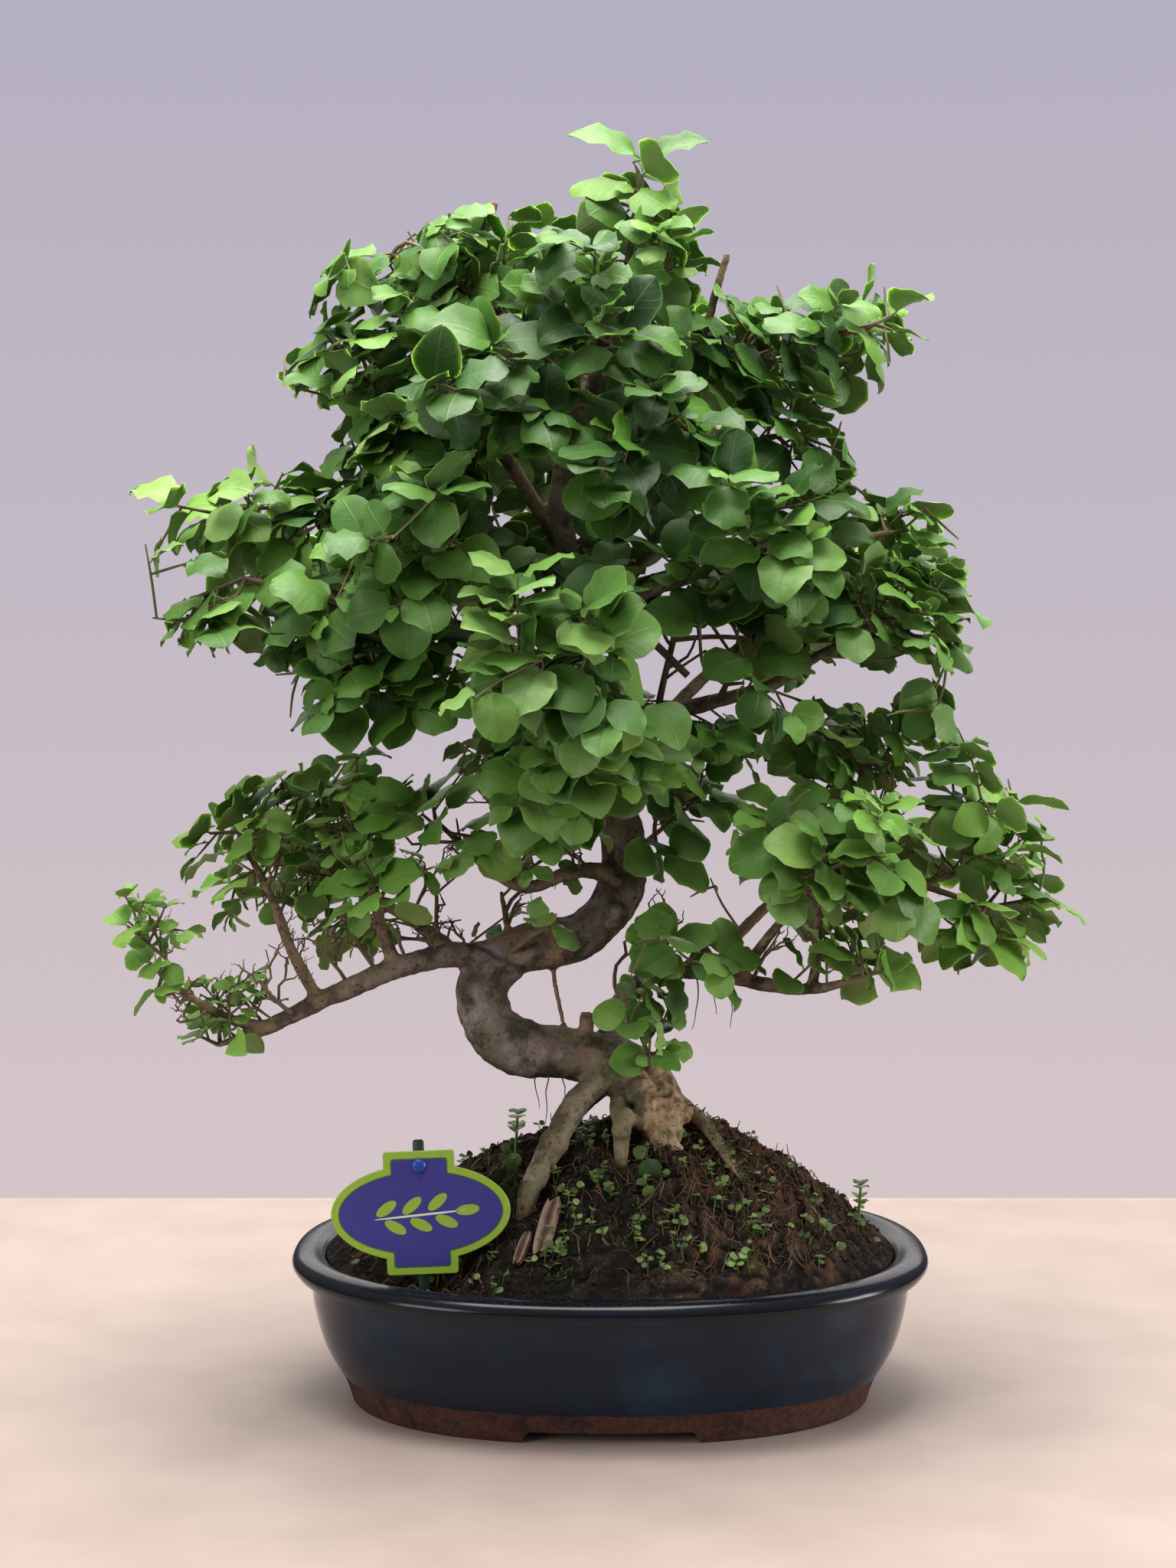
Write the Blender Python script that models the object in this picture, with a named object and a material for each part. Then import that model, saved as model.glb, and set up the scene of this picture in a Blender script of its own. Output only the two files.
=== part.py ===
"""A chinese privet bonsai in an oval glazed pot, with its soil, its label and two seedlings.

Every size below is in millimetres. The origin is the middle of the pot's foot, +Z is up and
the front, with the label, faces -Y.
"""

import math
import random

import bpy
import bmesh
from mathutils import Matrix, Vector, noise
from mathutils.bvhtree import BVHTree

MM = 0.001
GAP = 0.35  # left between two pieces that touch
ROOT_GAP = 0.6  # left round the uneven roots
UP = Vector((0, 0, 1))

# The pot: an oval between an ellipse and a rectangle, (half width, height) up its outside
OVAL_POWER = 2.3
POT_SIDES = 32
POT_NARROWER = 33.5  # how much less its half depth is than its half width
POT_OUTSIDE = ((127, 0), (131, 12), (140, 29), (145, 48), (146, 62))
POT_LIP = ((153, 63.5), (155.5, 68), (152.5, 72.6), (146, 74), (140.5, 72))
POT_INSIDE = ((138, 66), (134, 38), (124, 14))
POT_FLOOR = 14
FOOT_HEIGHT, FOOT_WIDTH = 6, 12
SLOT_BOTTOM, SLOT_TOP = 84, 78  # width of the gap between the two feet
DRAIN_RADIUS, DRAIN_X = 10, 62

# The soil: a mound that is highest a little right of the middle
SOIL_RINGS = (0.92, 0.77, 0.58, 0.38, 0.2, 0.06)
SOIL_MIDDLE = 22
SOIL_EDGE, SOIL_RISE = 70, 69
SOIL_POWER, SOIL_FULLNESS = 1.6, 0.9
SOIL_LUMP_SPAN, SOIL_LUMP_RISE = 24, 4.5
LABEL_HOLLOW = (-89, -76, 23, 42)  # x, y, depth and radius of the dip round the label
SCREEN_SIDE, SCREEN_THICK, SCREEN_HOLE, SCREEN_PITCH = 27, 1.2, 8, 11.25

# The trunk: x, y, height and radius
TRUNK = (
    (26, 3, 112, 12), (23, 1, 132, 14.5), (19, 0, 149, 15), (1, -4, 163, 14),
    (-21, -8, 169, 13), (-43, -10, 171, 13.5), (-58, -10, 183, 13.5),
    (-61, -8, 199, 12.8), (-54, -4, 213, 12.5), (-40, 0, 220, 12), (-17, 4, 224, 11.8),
    (1, 6, 239, 11.5), (7, 6, 262, 11.3), (4, 4, 280, 10.5), (-1, 2, 297, 9),
    (-6, 0, 312, 8.5), (-10, 0, 331, 7.5), (-12, 0, 353, 7), (-14, 0, 383, 6.6),
    (-21, 0, 412, 5.8), (-25, 0, 438, 5.2), (-21, 0, 460, 4.5), (-12, 0, 482, 4),
    (-3, 0, 511, 3.2), (6, 0, 536, 2.6), (9, 0, 556, 2), (12, 0, 570, 1.6),
)

# The roots, from the trunk down into the soil
ROOTS = {
    "root_arch": ((10, -4, 156, 8), (-6, -16, 156, 6.5), (-18, -32, 147, 6.5),
                  (-25, -38, 136, 6.3), (-33, -46, 122, 6), (-40, -56, 107, 5),
                  (-42, -58, 90, 4)),
    "root_middle": ((8, -6, 154, 5), (4, -20, 149, 4.4), (5, -31, 138, 4),
                    (5, -38, 124, 3.6), (6, -46, 104, 3)),
    "root_burl": ((19, -2, 151, 10), (21, -16, 147, 10.5), (24, -25, 135, 10),
                  (27, -31, 121, 7), (30, -36, 100, 3.6)),
    "root_right": ((22, 0, 148, 7), (34, -3, 143, 4.6), (47, -7, 131, 3.8),
                   (56, -12, 117, 3.5), (68, -20, 98, 3)),
    "root_back": ((19, 2, 150, 8), (20, 18, 143, 6.5), (16, 36, 130, 5),
                  (12, 54, 108, 3.6)),
    "root_back_left": ((8, 2, 158, 6), (-4, 16, 147, 5), (-20, 32, 128, 4),
                       (-32, 44, 104, 3)),
}

# The limbs, from the wood that each grows on out to where its last spray begins
LIMBS = {
    "left_low": ((-55, -6, 214, 9), (-73, -12, 218, 6.5), (-102, -20, 213, 5.6),
                 (-140, -25, 197, 4.6), (-166, -28, 184, 3.4), (-182, -31, 179, 2.2)),
    "left_tip": ((-164, -27, 185, 3.2), (-180, -32, 189, 2.6), (-197, -41, 200, 2.2),
                 (-208, -47, 210, 1.7)),
    "left_riser": ((-103, -19, 212, 4), (-110, -21, 232, 3), (-115, -22, 252, 2.4),
                   (-121, -24, 272, 1.8)),
    "left_outer_riser": ((-140, -24, 197, 3.6), (-152, -28, 221, 2.8),
                         (-162, -24, 246, 2.3), (-173, -22, 268, 1.7)),
    "left_back": ((-60, -4, 200, 6), (-76, 16, 214, 4.4), (-102, 38, 230, 3.4),
                  (-134, 50, 244, 2.6), (-158, 50, 252, 1.8)),
    "right_low": ((0, 0, 166, 9), (4, 3, 190, 5), (18, 0, 205, 4.6), (37, -5, 209, 4.2),
                  (56, -10, 207, 4), (87, -15, 202, 3.4), (104, -20, 203, 2.6),
                  (116, -26, 208, 1.8)),
    "right_riser": ((97, -17, 201, 3), (100, -10, 216, 2.8), (103, 0, 240, 2.5),
                    (111, 4, 270, 2.1), (120, 6, 296, 1.6)),
    "right_arm": ((101, -4, 228, 2.6), (124, 6, 238, 2.4), (152, 12, 249, 2.1),
                  (178, 14, 256, 1.6)),
    "right_front": ((62, -11, 206, 3.2), (74, -24, 226, 2.6), (86, -38, 244, 2.1),
                    (94, -50, 256, 1.6)),
    "right_back": ((50, -8, 208, 3.6), (64, 18, 224, 3), (86, 42, 240, 2.5),
                   (112, 58, 252, 1.8)),
    "inner_left": ((6, 2, 250, 6), (-8, -20, 260, 4.2), (-24, -28, 258, 3.6),
                   (-40, -30, 253, 3.2), (-56, -30, 260, 2.6), (-74, -28, 276, 2)),
    "inner_riser": ((-42, -29, 253, 3), (-39, -34, 270, 2.4), (-30, -38, 284, 1.8)),
    "upper_right": ((-2, 1, 318, 6), (12, -5, 328, 4.6), (30, -10, 335, 4.2),
                    (52, -12, 341, 3.8), (76, -15, 348, 3.2), (98, -18, 362, 2.6),
                    (120, -20, 374, 1.8)),
    "top_right": ((-14, 0, 380, 5), (19, -10, 394, 3.8), (56, -15, 405, 3.2),
                  (95, -20, 413, 2.5), (126, -18, 420, 1.8)),
    "upper_right_back": ((26, -8, 333, 3.4), (46, 22, 350, 3), (70, 52, 368, 2.5),
                         (94, 68, 382, 1.8)),
    "upper_left": ((-11, 0, 342, 6), (-36, -16, 360, 4.8), (-72, -30, 372, 4.2),
                   (-107, -38, 383, 3.4), (-143, -44, 393, 2.6), (-166, -48, 399, 1.8)),
    "top_left": ((-20, 0, 402, 5), (-54, -10, 420, 3.8), (-90, -15, 431, 3.2),
                 (-127, -18, 436, 2.5), (-156, -20, 434, 1.8)),
    "upper_left_back": ((-34, -14, 358, 3.6), (-56, 16, 368, 3.2), (-88, 42, 380, 2.6),
                        (-118, 54, 390, 1.8)),
    "centre_front": ((-10, 0, 332, 5), (-21, -38, 350, 3.8), (-27, -72, 361, 3),
                     (-30, -94, 362, 2)),
    "back_low": ((1, 4, 296, 5), (-12, 44, 308, 3.6), (-26, 78, 314, 2.6),
                 (-34, 96, 318, 1.8)),
    "back_middle": ((-22, 2, 418, 4.4), (-16, 44, 434, 3.2), (-10, 84, 448, 2)),
    "crown_left": ((-23, 0, 416, 5), (-37, -2, 436, 3.8), (-56, -5, 464, 3.2),
                   (-86, -10, 488, 2.6), (-108, -12, 500, 1.8)),
    "crown_top_left": ((-13, 0, 478, 3.6), (-39, -8, 512, 2.8), (-66, -10, 534, 2.3),
                       (-88, -6, 545, 1.7)),
    "crown_right": ((-18, 0, 464, 3.8), (19, -5, 485, 3), (56, -5, 500, 2.6),
                    (92, -10, 511, 2.1), (114, -10, 517, 1.6)),
    "crown_low_right": ((-24, 0, 446, 3.6), (12, -6, 456, 2.8), (49, -10, 461, 2.3),
                        (74, -16, 466, 1.7)),
    "crown_front_low": ((-20, -1, 462, 3.6), (-21, -36, 474, 2.7), (-18, -62, 472, 1.9)),
    "crown_front": ((-4, -1, 506, 3), (-5, -32, 514, 2.3), (-6, -58, 514, 1.7)),
    "crown_back": ((-12, 1, 482, 3.4), (-12, 42, 494, 2.6), (-14, 70, 504, 1.8)),
    "stub_left": ((-64, -10, 532, 2.6), (-63, -7, 554, 2.4), (-55, -5, 578, 2.2)),
    "stub_right": ((42, -5, 495, 2.4), (47, -13, 524, 2.2), (55, -18, 553, 2)),
    "stub_arm": ((-13, -6, 166, 5), (-12, -9, 178, 4), (-11, -11, 189, 3.6)),
    "twig_window": ((-29, 2, 222, 1.6), (-27, -1, 203, 1.4), (-20, -6, 170, 1.3)),
    "twig_hump": ((-49, -2, 222, 2.2), (-51, -4, 236, 1.7), (-53, -5, 248, 1.3)),
}

# The sprays: the wood that bears it, its leaves' length, and where the tips of its shoots reach
SPRAYS = {
    "apex": ("trunk", 27, (
        (16, 0, 612), (-16, -3, 584), (46, -4, 576), (4, -26, 588), (14, 26, 582))),
    "crown_high_left": ("crown_top_left", 27, (
        (-81, -15, 568), (-50, 4, 573), (-58, -30, 554), (-130, -10, 549),
        (-141, -14, 528), (-106, 12, 552))),
    "crown_left": ("crown_left", 28, (
        (-154, -20, 501), (-127, -10, 484), (-144, 10, 514), (-125, -18, 460),
        (-112, -42, 474), (-94, -56, 444))),
    "crown_high_front": ("crown_front", 27, (
        (-24, -28, 564), (-36, -52, 545), (-6, -56, 538))),
    "crown_high_right": ("trunk", 27, (
        (40, -8, 566), (32, -42, 546), (50, 12, 548))),
    "crown_mid_right": ("crown_right", 27, (
        (74, -22, 532), (56, -42, 514), (88, 2, 534))),
    "crown_far_right": ("crown_right", 27, (
        (153, 0, 535), (129, -22, 503), (150, -10, 514), (104, 8, 540))),
    "crown_low_right": ("crown_low_right", 27, (
        (110, -10, 470), (94, -42, 452), (102, -28, 486))),
    "crown_front_left": ("crown_left", 28, (
        (-84, -70, 522), (-56, -88, 518), (-74, -56, 500))),
    "crown_front": ("crown_front", 29, (
        (19, -94, 514), (-12, -97, 520), (4, -84, 494))),
    "crown_low_left": ("crown_front_low", 29, (
        (-52, -96, 479), (-80, -70, 476), (-30, -92, 462))),
    "crown_low_front": ("crown_front_low", 29, (
        (22, -100, 462), (52, -80, 477), (12, -85, 426), (-14, -80, 441))),
    "crown_back_left": ("crown_back", 27, (
        (-75, 60, 550), (-36, 62, 562), (-70, 92, 512), (-98, 64, 504), (-38, 108, 500))),
    "crown_back_right": ("crown_back", 27, (
        (24, 62, 552), (64, 80, 524), (100, 58, 502), (38, 108, 506))),
    "crown_low_back_left": ("back_middle", 28, (
        (-40, 138, 474), (-92, 84, 472), (-62, 116, 450))),
    "crown_low_back_right": ("back_middle", 28, (
        (22, 142, 473), (74, 96, 458), (42, 124, 440))),
    "upper_left_high": ("top_left", 27, (
        (-221, -50, 417), (-200, -36, 432), (-188, -20, 451), (-164, -42, 440),
        (-156, 4, 458))),
    "upper_left_tip": ("upper_left", 27, (
        (-215, -60, 383), (-196, -74, 371), (-178, -56, 356))),
    "upper_left_front": ("upper_left", 28, (
        (-128, -98, 398), (-156, -82, 408), (-142, -98, 376))),
    "upper_left_under": ("upper_left", 27, (
        (-150, -58, 338), (-140, -82, 360), (-106, -82, 349), (-82, -60, 328))),
    "upper_left_mid": ("top_left", 28, (
        (-92, -106, 408), (-105, -80, 430), (-69, -100, 421))),
    "upper_left_back": ("upper_left_back", 27, (
        (-160, 52, 420), (-188, 22, 398), (-110, 100, 396), (-147, 74, 372),
        (-100, 84, 424))),
    "centre_left": ("centre_front", 30, (
        (-64, -126, 378), (-80, -110, 368), (-38, -140, 350), (-56, -122, 346))),
    "centre_right": ("centre_front", 30, (
        (7, -126, 382), (-16, -134, 374), (22, -112, 360))),
    "centre_low": ("inner_riser", 28, (
        (14, -82, 320), (-8, -106, 334), (-44, -82, 312), (2, -54, 278))),
    "upper_right_top": ("top_right", 27, (
        (160, 0, 424), (149, 12, 443), (122, -2, 446))),
    "upper_right_tip": ("upper_right", 27, (
        (180, -10, 388), (174, -22, 364), (144, -34, 368), (116, -60, 386))),
    "upper_right_front": ("top_right", 28, (
        (94, -90, 400), (70, -92, 415), (49, -78, 434), (94, -50, 440))),
    "upper_right_inner": ("upper_right", 28, (
        (84, -34, 352), (72, -64, 374), (34, -70, 394))),
    "upper_right_back": ("upper_right_back", 27, (
        (130, 82, 418), (164, 50, 396), (80, 112, 403), (100, 84, 370),
        (40, 96, 392))),
    "trunk_right": ("trunk", 26, (
        (39, -20, 321), (58, -40, 311), (28, -28, 282), (26, -36, 254))),
    "right_high": ("right_riser", 27, (
        (86, 0, 336), (95, -32, 326), (156, 10, 339), (124, 12, 344))),
    "right_upper": ("right_arm", 27, (
        (198, 20, 313), (170, -10, 310), (217, 20, 285), (196, -4, 278))),
    "right_tip": ("right_arm", 27, (
        (234, 30, 244), (205, 32, 258), (195, -10, 211), (170, -30, 219))),
    "right_low": ("right_low", 26, (
        (118, -52, 234), (146, -34, 216), (134, -2, 214))),
    "right_inner": ("right_low", 25, (
        (56, -46, 228), (33, -42, 240), (22, -16, 232))),
    "right_front": ("right_front", 28, (
        (98, -92, 286), (64, -82, 288), (142, -70, 284), (130, -60, 258))),
    "right_back": ("right_back", 27, (
        (112, 82, 292), (64, 72, 263), (178, 70, 257), (140, 92, 236), (150, 76, 284))),
    "left_tip": ("left_tip", 18, (
        (-231, -60, 253), (-224, -60, 230), (-214, -62, 204))),
    "left_low": ("left_low", 17, (
        (-170, -48, 188), (-204, -36, 186), (-190, -14, 196))),
    "left_high": ("left_outer_riser", 25, (
        (-187, -20, 308), (-163, -32, 300), (-211, -30, 278), (-190, -52, 268),
        (-176, 6, 292))),
    "left_mid_high": ("left_riser", 25, (
        (-148, -10, 314), (-125, -50, 299), (-118, -6, 306))),
    "left_front": ("left_riser", 22, (
        (-132, -70, 247), (-114, -72, 268), (-88, -58, 248), (-96, -52, 278))),
    "left_back": ("left_back", 26, (
        (-170, 62, 258), (-206, 30, 238), (-110, 84, 271), (-138, 62, 226),
        (-178, 50, 284))),
    "mid_left": ("inner_left", 26, (
        (-71, -52, 299), (-88, -30, 312), (-102, -40, 290), (-54, -54, 278))),
    "mid_back": ("back_low", 27, (
        (-62, 76, 290), (-34, 84, 268), (-40, 128, 332), (-2, 116, 322),
        (-66, 100, 346))),
    "trunk_foot": ("trunk", 18, ((18, -40, 172), (2, -32, 202), (34, -30, 178))),
    "trunk_bend": ("trunk", 18, ((-20, -42, 240), (-34, -34, 240))),
}
BLADE_THICK = 0.7
BLADE_WIDTHS = (0.7, 0.82)  # shares of a leaf's length
TRUNK_STEP, LIMB_STEP = 17, 27
TRUNK_SIDES, ROOT_SIDES, LIMB_SIDES = 7, 5, 5
TRUNK_KNOTS, ROOT_KNOTS, LIMB_KNOTS = 0.22, 0.2, 0.15
BLADE_OUTLINE = ((0.36, 0.5), (0.76, 0.42), (1, 0))  # share of its length, of its width
BLADE_NECK = (0.08, 0.11)
BLADE_CURL, BLADE_DROOP = 0.16, 0.22
SHOOT_RADII = (1.2, 0.8)
STEM_RADIUS, HUB_RADIUS = 1.8, 1.4
SHORTEST_STEM, STEM_SHARE = 4, 0.45  # of the way from the limb to the spray's middle
SHORTEST_SHOOT, LEAF_SHARE = 9, 0.8  # how much of its last leaf reaches past a shoot's end
NODE_LENGTH, NODE_APART = 1.6, 5
LEAF_SPREAD, LEAST_NECK_RISE = 56, 0.15
STRAIGHT_UNDER, STIFF_UNDER = 44, 0.12
LEAF_TRIES, SHOOT_TRIES, SHOOT_LOOSENS = 60, 30, 0.013
SOIL_CLEAR = 3  # between the lowest leaves and the soil

# The label: where the middle of its plate stands, and how it leans
LABEL_AT = (-89, -72, 105)
LABEL_ROLL, LABEL_LEAN = 2.3, 4
LABEL_HALF_WIDTH, LABEL_HALF_HEIGHT = 42, 23
LABEL_TAB_HALF_WIDTH, LABEL_TAB_TOP = 16.75, 29
LABEL_THICK = 1.2
PEG_HEIGHT, PEG_HEAD_RADIUS, PEG_RADIUS, PEG_SIDES = 22, 3.5, 1.2, 10
STAKE_WIDTH, STAKE_THICK, STAKE_TOP, STAKE_BOTTOM = 5.2, 1.8, 34, -50

CHIPS = {  # lower end, upper end, width and thickness of each bit of bark
    "bark_chip_large": ((-33, -80), (-27, -61), 9, 3.6),
    "bark_chip_small": ((-43.5, -81), (-39, -71), 5.5, 2.6),
}
SEEDLINGS = {  # where each one stands, its height, and the length of its leaves
    "seedling_left": ((-46, -14), 18, 9),
    "seedling_right": ((121, -12), 17, 8),
}


def clear_scene():
    for obj in list(bpy.data.objects):
        bpy.data.objects.remove(obj, do_unlink=True)


def material(name, color, roughness, metallic=0.0):
    made = bpy.data.materials.new(name)
    made.use_nodes = True
    shader = made.node_tree.nodes["Principled BSDF"]
    shader.inputs["Base Color"].default_value = (*color, 1)
    shader.inputs["Roughness"].default_value = roughness
    shader.inputs["Metallic"].default_value = metallic
    made.diffuse_color = (*color, 1)
    return made


def add_mesh(name, shape, finish):
    """A mesh object from (points in millimetres, faces), with its faces turned outwards."""
    points, faces = shape
    mesh = bpy.data.meshes.new(name)
    mesh.from_pydata([Vector(point) * MM for point in points], [], faces)
    turned = bmesh.new()
    turned.from_mesh(mesh)
    bmesh.ops.recalc_face_normals(turned, faces=turned.faces)
    turned.to_mesh(mesh)
    turned.free()
    mesh.materials.append(finish)
    obj = bpy.data.objects.new(name, mesh)
    bpy.context.scene.collection.objects.link(obj)
    return obj


def apply_boolean(obj, others, operation, solver="EXACT"):
    """Joins others to obj, or cuts them from it, in one Boolean on a collection."""
    group = bpy.data.collections.new(obj.name + "_operands")
    for other in others:
        group.objects.link(other)
    change = obj.modifiers.new(operation.title(), "BOOLEAN")
    change.operation = operation
    change.operand_type = "COLLECTION"
    change.collection = group
    change.solver = solver
    bpy.context.view_layer.update()
    graph = bpy.context.evaluated_depsgraph_get()
    made = bpy.data.meshes.new_from_object(obj.evaluated_get(graph))
    obj.modifiers.clear()
    bpy.data.collections.remove(group)
    return made


def is_one_body(mesh):
    """True if the mesh is closed and all of it hangs together."""
    test = bmesh.new()
    test.from_mesh(mesh)
    closed = all(edge.is_manifold for edge in test.edges)
    reached = set()
    test.verts.ensure_lookup_table()
    waiting = list(test.verts[:1])
    while waiting:
        vert = waiting.pop()
        if vert in reached:
            continue
        reached.add(vert)
        waiting.extend(edge.other_vert(vert) for edge in vert.link_edges)
    whole = len(reached) == len(test.verts)
    test.free()
    return closed and whole


def combine(obj, others, operation):
    """The Boolean by the exact solver or, where that leaves a fault, by the manifold one."""
    made = apply_boolean(obj, others, operation)
    if not is_one_body(made):
        made = apply_boolean(obj, others, operation, "MANIFOLD")
    obj.data = made
    for other in others:
        bpy.data.objects.remove(other, do_unlink=True)
    return obj


def oval(half_width, height):
    """A ring of the pot's plan."""
    half_depth = half_width - POT_NARROWER
    ring = []
    for k in range(POT_SIDES):
        angle = 2 * math.pi * (k + 0.5) / POT_SIDES
        across, along = math.cos(angle), math.sin(angle)
        x = half_width * math.copysign(abs(across) ** (2 / OVAL_POWER), across)
        y = half_depth * math.copysign(abs(along) ** (2 / OVAL_POWER), along)
        ring.append((x, y, height))
    return ring


def skin(rings):
    """A closed skin over rings of equal count, with a cap on the first and the last."""
    count = len(rings[0])
    points = [point for ring in rings for point in ring]
    faces = []
    for start in range(0, len(points) - count, count):
        for k in range(count):
            after = (k + 1) % count
            faces.append((start + k, start + after, start + after + count))
            faces.append((start + k, start + after + count, start + k + count))
    faces.append(tuple(range(count))[::-1])
    faces.append(tuple(range(len(points) - count, len(points))))
    return points, faces


def box(low, high):
    rings = []
    for z in (low[2], high[2]):
        rings.append([
            (low[0], low[1], z), (high[0], low[1], z), (high[0], high[1], z), (low[0], high[1], z),
        ])
    return skin(rings)


def disc(radius, low, high, x=0.0, y=0.0, sides=16):
    rings = []
    for z in (low, high):
        turns = [2 * math.pi * k / sides for k in range(sides)]
        rings.append([(x + radius * math.cos(a), y + radius * math.sin(a), z) for a in turns])
    return skin(rings)


def slot_shape():
    """What is cut away between the two feet, from front to back."""
    rings = []
    for z, width in ((-1, SLOT_BOTTOM + 1), (FOOT_HEIGHT, SLOT_TOP)):
        half, reach = width / 2, POT_OUTSIDE[-1][0]
        rings.append([(-half, -reach, z), (half, -reach, z), (half, reach, z), (-half, reach, z)])
    return skin(rings)


def make_pot():
    glaze = material("pot_glaze", (0.02, 0.06, 0.09), 0.15)
    rings = [oval(*step) for step in POT_OUTSIDE + POT_LIP + POT_INSIDE]
    pot = add_mesh("pot", skin(rings), glaze)
    foot_inside = POT_OUTSIDE[0][0] - FOOT_WIDTH
    recess = skin([oval(foot_inside, -1), oval(foot_inside + 1, FOOT_HEIGHT)])
    combine(pot, [add_mesh("recess_cutter", recess, glaze)], "DIFFERENCE")
    combine(pot, [add_mesh("slot_cutter", slot_shape(), glaze)], "DIFFERENCE")
    holes = []
    for x in (-DRAIN_X, DRAIN_X):
        hole = disc(DRAIN_RADIUS, 0, POT_FLOOR + 1, x)
        holes.append(add_mesh("drain_cutter", hole, glaze))
    combine(pot, holes, "DIFFERENCE")


def make_screens():
    """A square of plastic mesh over each drain hole, flat on the pot's floor."""
    plastic = material("screen_plastic", (0.03, 0.03, 0.03), 0.6)
    low = POT_FLOOR + GAP
    half = SCREEN_SIDE / 2
    for side, x in (("left", -DRAIN_X), ("right", DRAIN_X)):
        corners = (x - half, -half, low), (x + half, half, low + SCREEN_THICK)
        screen = add_mesh("drain_screen_" + side, box(*corners), plastic)
        reach = SCREEN_HOLE / 2
        holes = []
        for across in (x - SCREEN_PITCH / 2, x + SCREEN_PITCH / 2):
            for along in (-SCREEN_PITCH / 2, SCREEN_PITCH / 2):
                near = (across - reach, along - reach, low - 1)
                far = (across + reach, along + reach, low + SCREEN_THICK + 1)
                holes.append(add_mesh("screen_cutter", box(near, far), plastic))
        combine(screen, holes, "DIFFERENCE")


def soil_height(x, y):
    """How high the mound's surface stands at a place in the pot."""
    half_width = POT_INSIDE[0][0]
    half_depth = half_width - POT_NARROWER
    span = half_width - SOIL_MIDDLE if x > SOIL_MIDDLE else half_width + SOIL_MIDDLE
    across, along = abs(x - SOIL_MIDDLE) / span, abs(y) / half_depth
    share = min(1.0, (across ** OVAL_POWER + along ** OVAL_POWER) ** (1 / OVAL_POWER))
    height = SOIL_EDGE + SOIL_RISE * (1 - share ** SOIL_POWER) ** SOIL_FULLNESS
    lump = noise.noise(Vector((x, y, 0)) / SOIL_LUMP_SPAN) * min(1.0, 4 * (1 - share))
    hollow_x, hollow_y, depth, radius = LABEL_HOLLOW
    away = ((x - hollow_x) ** 2 + (y - hollow_y) ** 2) / radius ** 2
    dip = depth * math.exp(-1.6 * away)
    return max(SOIL_EDGE, height + lump * SOIL_LUMP_RISE - dip)


def soil_mound():
    wall = [(width - GAP, height) for width, height in POT_INSIDE[::-1]]
    wall[0] = (wall[0][0], POT_FLOOR + GAP)
    rings = [oval(*step) for step in wall]
    edge = oval(wall[-1][0], SOIL_EDGE)
    rings.append(edge)
    for share in SOIL_RINGS:
        ring = []
        for x, y, _ in edge:
            inner_x = SOIL_MIDDLE + share * (x - SOIL_MIDDLE)
            inner_y = share * y
            ring.append((inner_x, inner_y, soil_height(inner_x, inner_y)))
        rings.append(ring)
    return skin(rings)


def smooth_path(stops, step):
    """Points about step apart on a smooth curve through stops, which hold x, y, z and radius."""
    stops = [Vector(stop) for stop in stops]
    ends = [2 * stops[0] - stops[1]] + stops + [2 * stops[-1] - stops[-2]]
    path = []
    for a, b, c, d in zip(ends, ends[1:], ends[2:], ends[3:]):
        pieces = max(1, round((c - b).length / step))
        for k in range(pieces):
            t = k / pieces
            bend = 2 * a - 5 * b + 4 * c - d
            twist = 3 * b - a - 3 * c + d
            path.append(0.5 * (2 * b + (c - a) * t + bend * t * t + twist * t * t * t))
    path.append(stops[-1])
    return path


def tube(path, sides, grow=0.0, knots=0.0):
    """A closed tube round a path of (x, y, z, radius), grow thicker, with uneven sides."""
    places = [point.xyz for point in path]
    headings = []
    for k, place in enumerate(places):
        before, after = places[max(0, k - 1)], places[min(len(places) - 1, k + 1)]
        headings.append((after - before).normalized())
    side = headings[0].orthogonal().normalized()
    rings = []
    for k, (point, heading) in enumerate(zip(path, headings)):
        side = (side - heading * side.dot(heading)).normalized()
        other = heading.cross(side)
        middle = point.xyz
        if grow and k in (0, len(path) - 1):
            middle = middle + heading * (grow if k else -grow)
        ring = []
        for turn in range(sides):
            angle = 2 * math.pi * turn / sides
            way = side * math.cos(angle) + other * math.sin(angle)
            lump = noise.noise(place_key(point.xyz, angle)) * knots
            ring.append(middle + way * (point.w * (1 + lump) + grow))
        rings.append(ring)
    return skin(rings)


def place_key(place, angle):
    """Where to read the noise for one side of a tube, so that lumps run along the wood."""
    return Vector((place.x / 16 + math.cos(angle), place.y / 16 + math.sin(angle), place.z / 16))


def limb_paths():
    """The smooth path of the trunk, of each root and of each limb."""
    paths = {"trunk": smooth_path(TRUNK, TRUNK_STEP)}
    for name, stops in {**ROOTS, **LIMBS}.items():
        paths[name] = smooth_path(stops, LIMB_STEP)
    return paths


def unit(vector):
    return vector.normalized() if vector.length > 1e-6 else Vector(UP)


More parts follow.
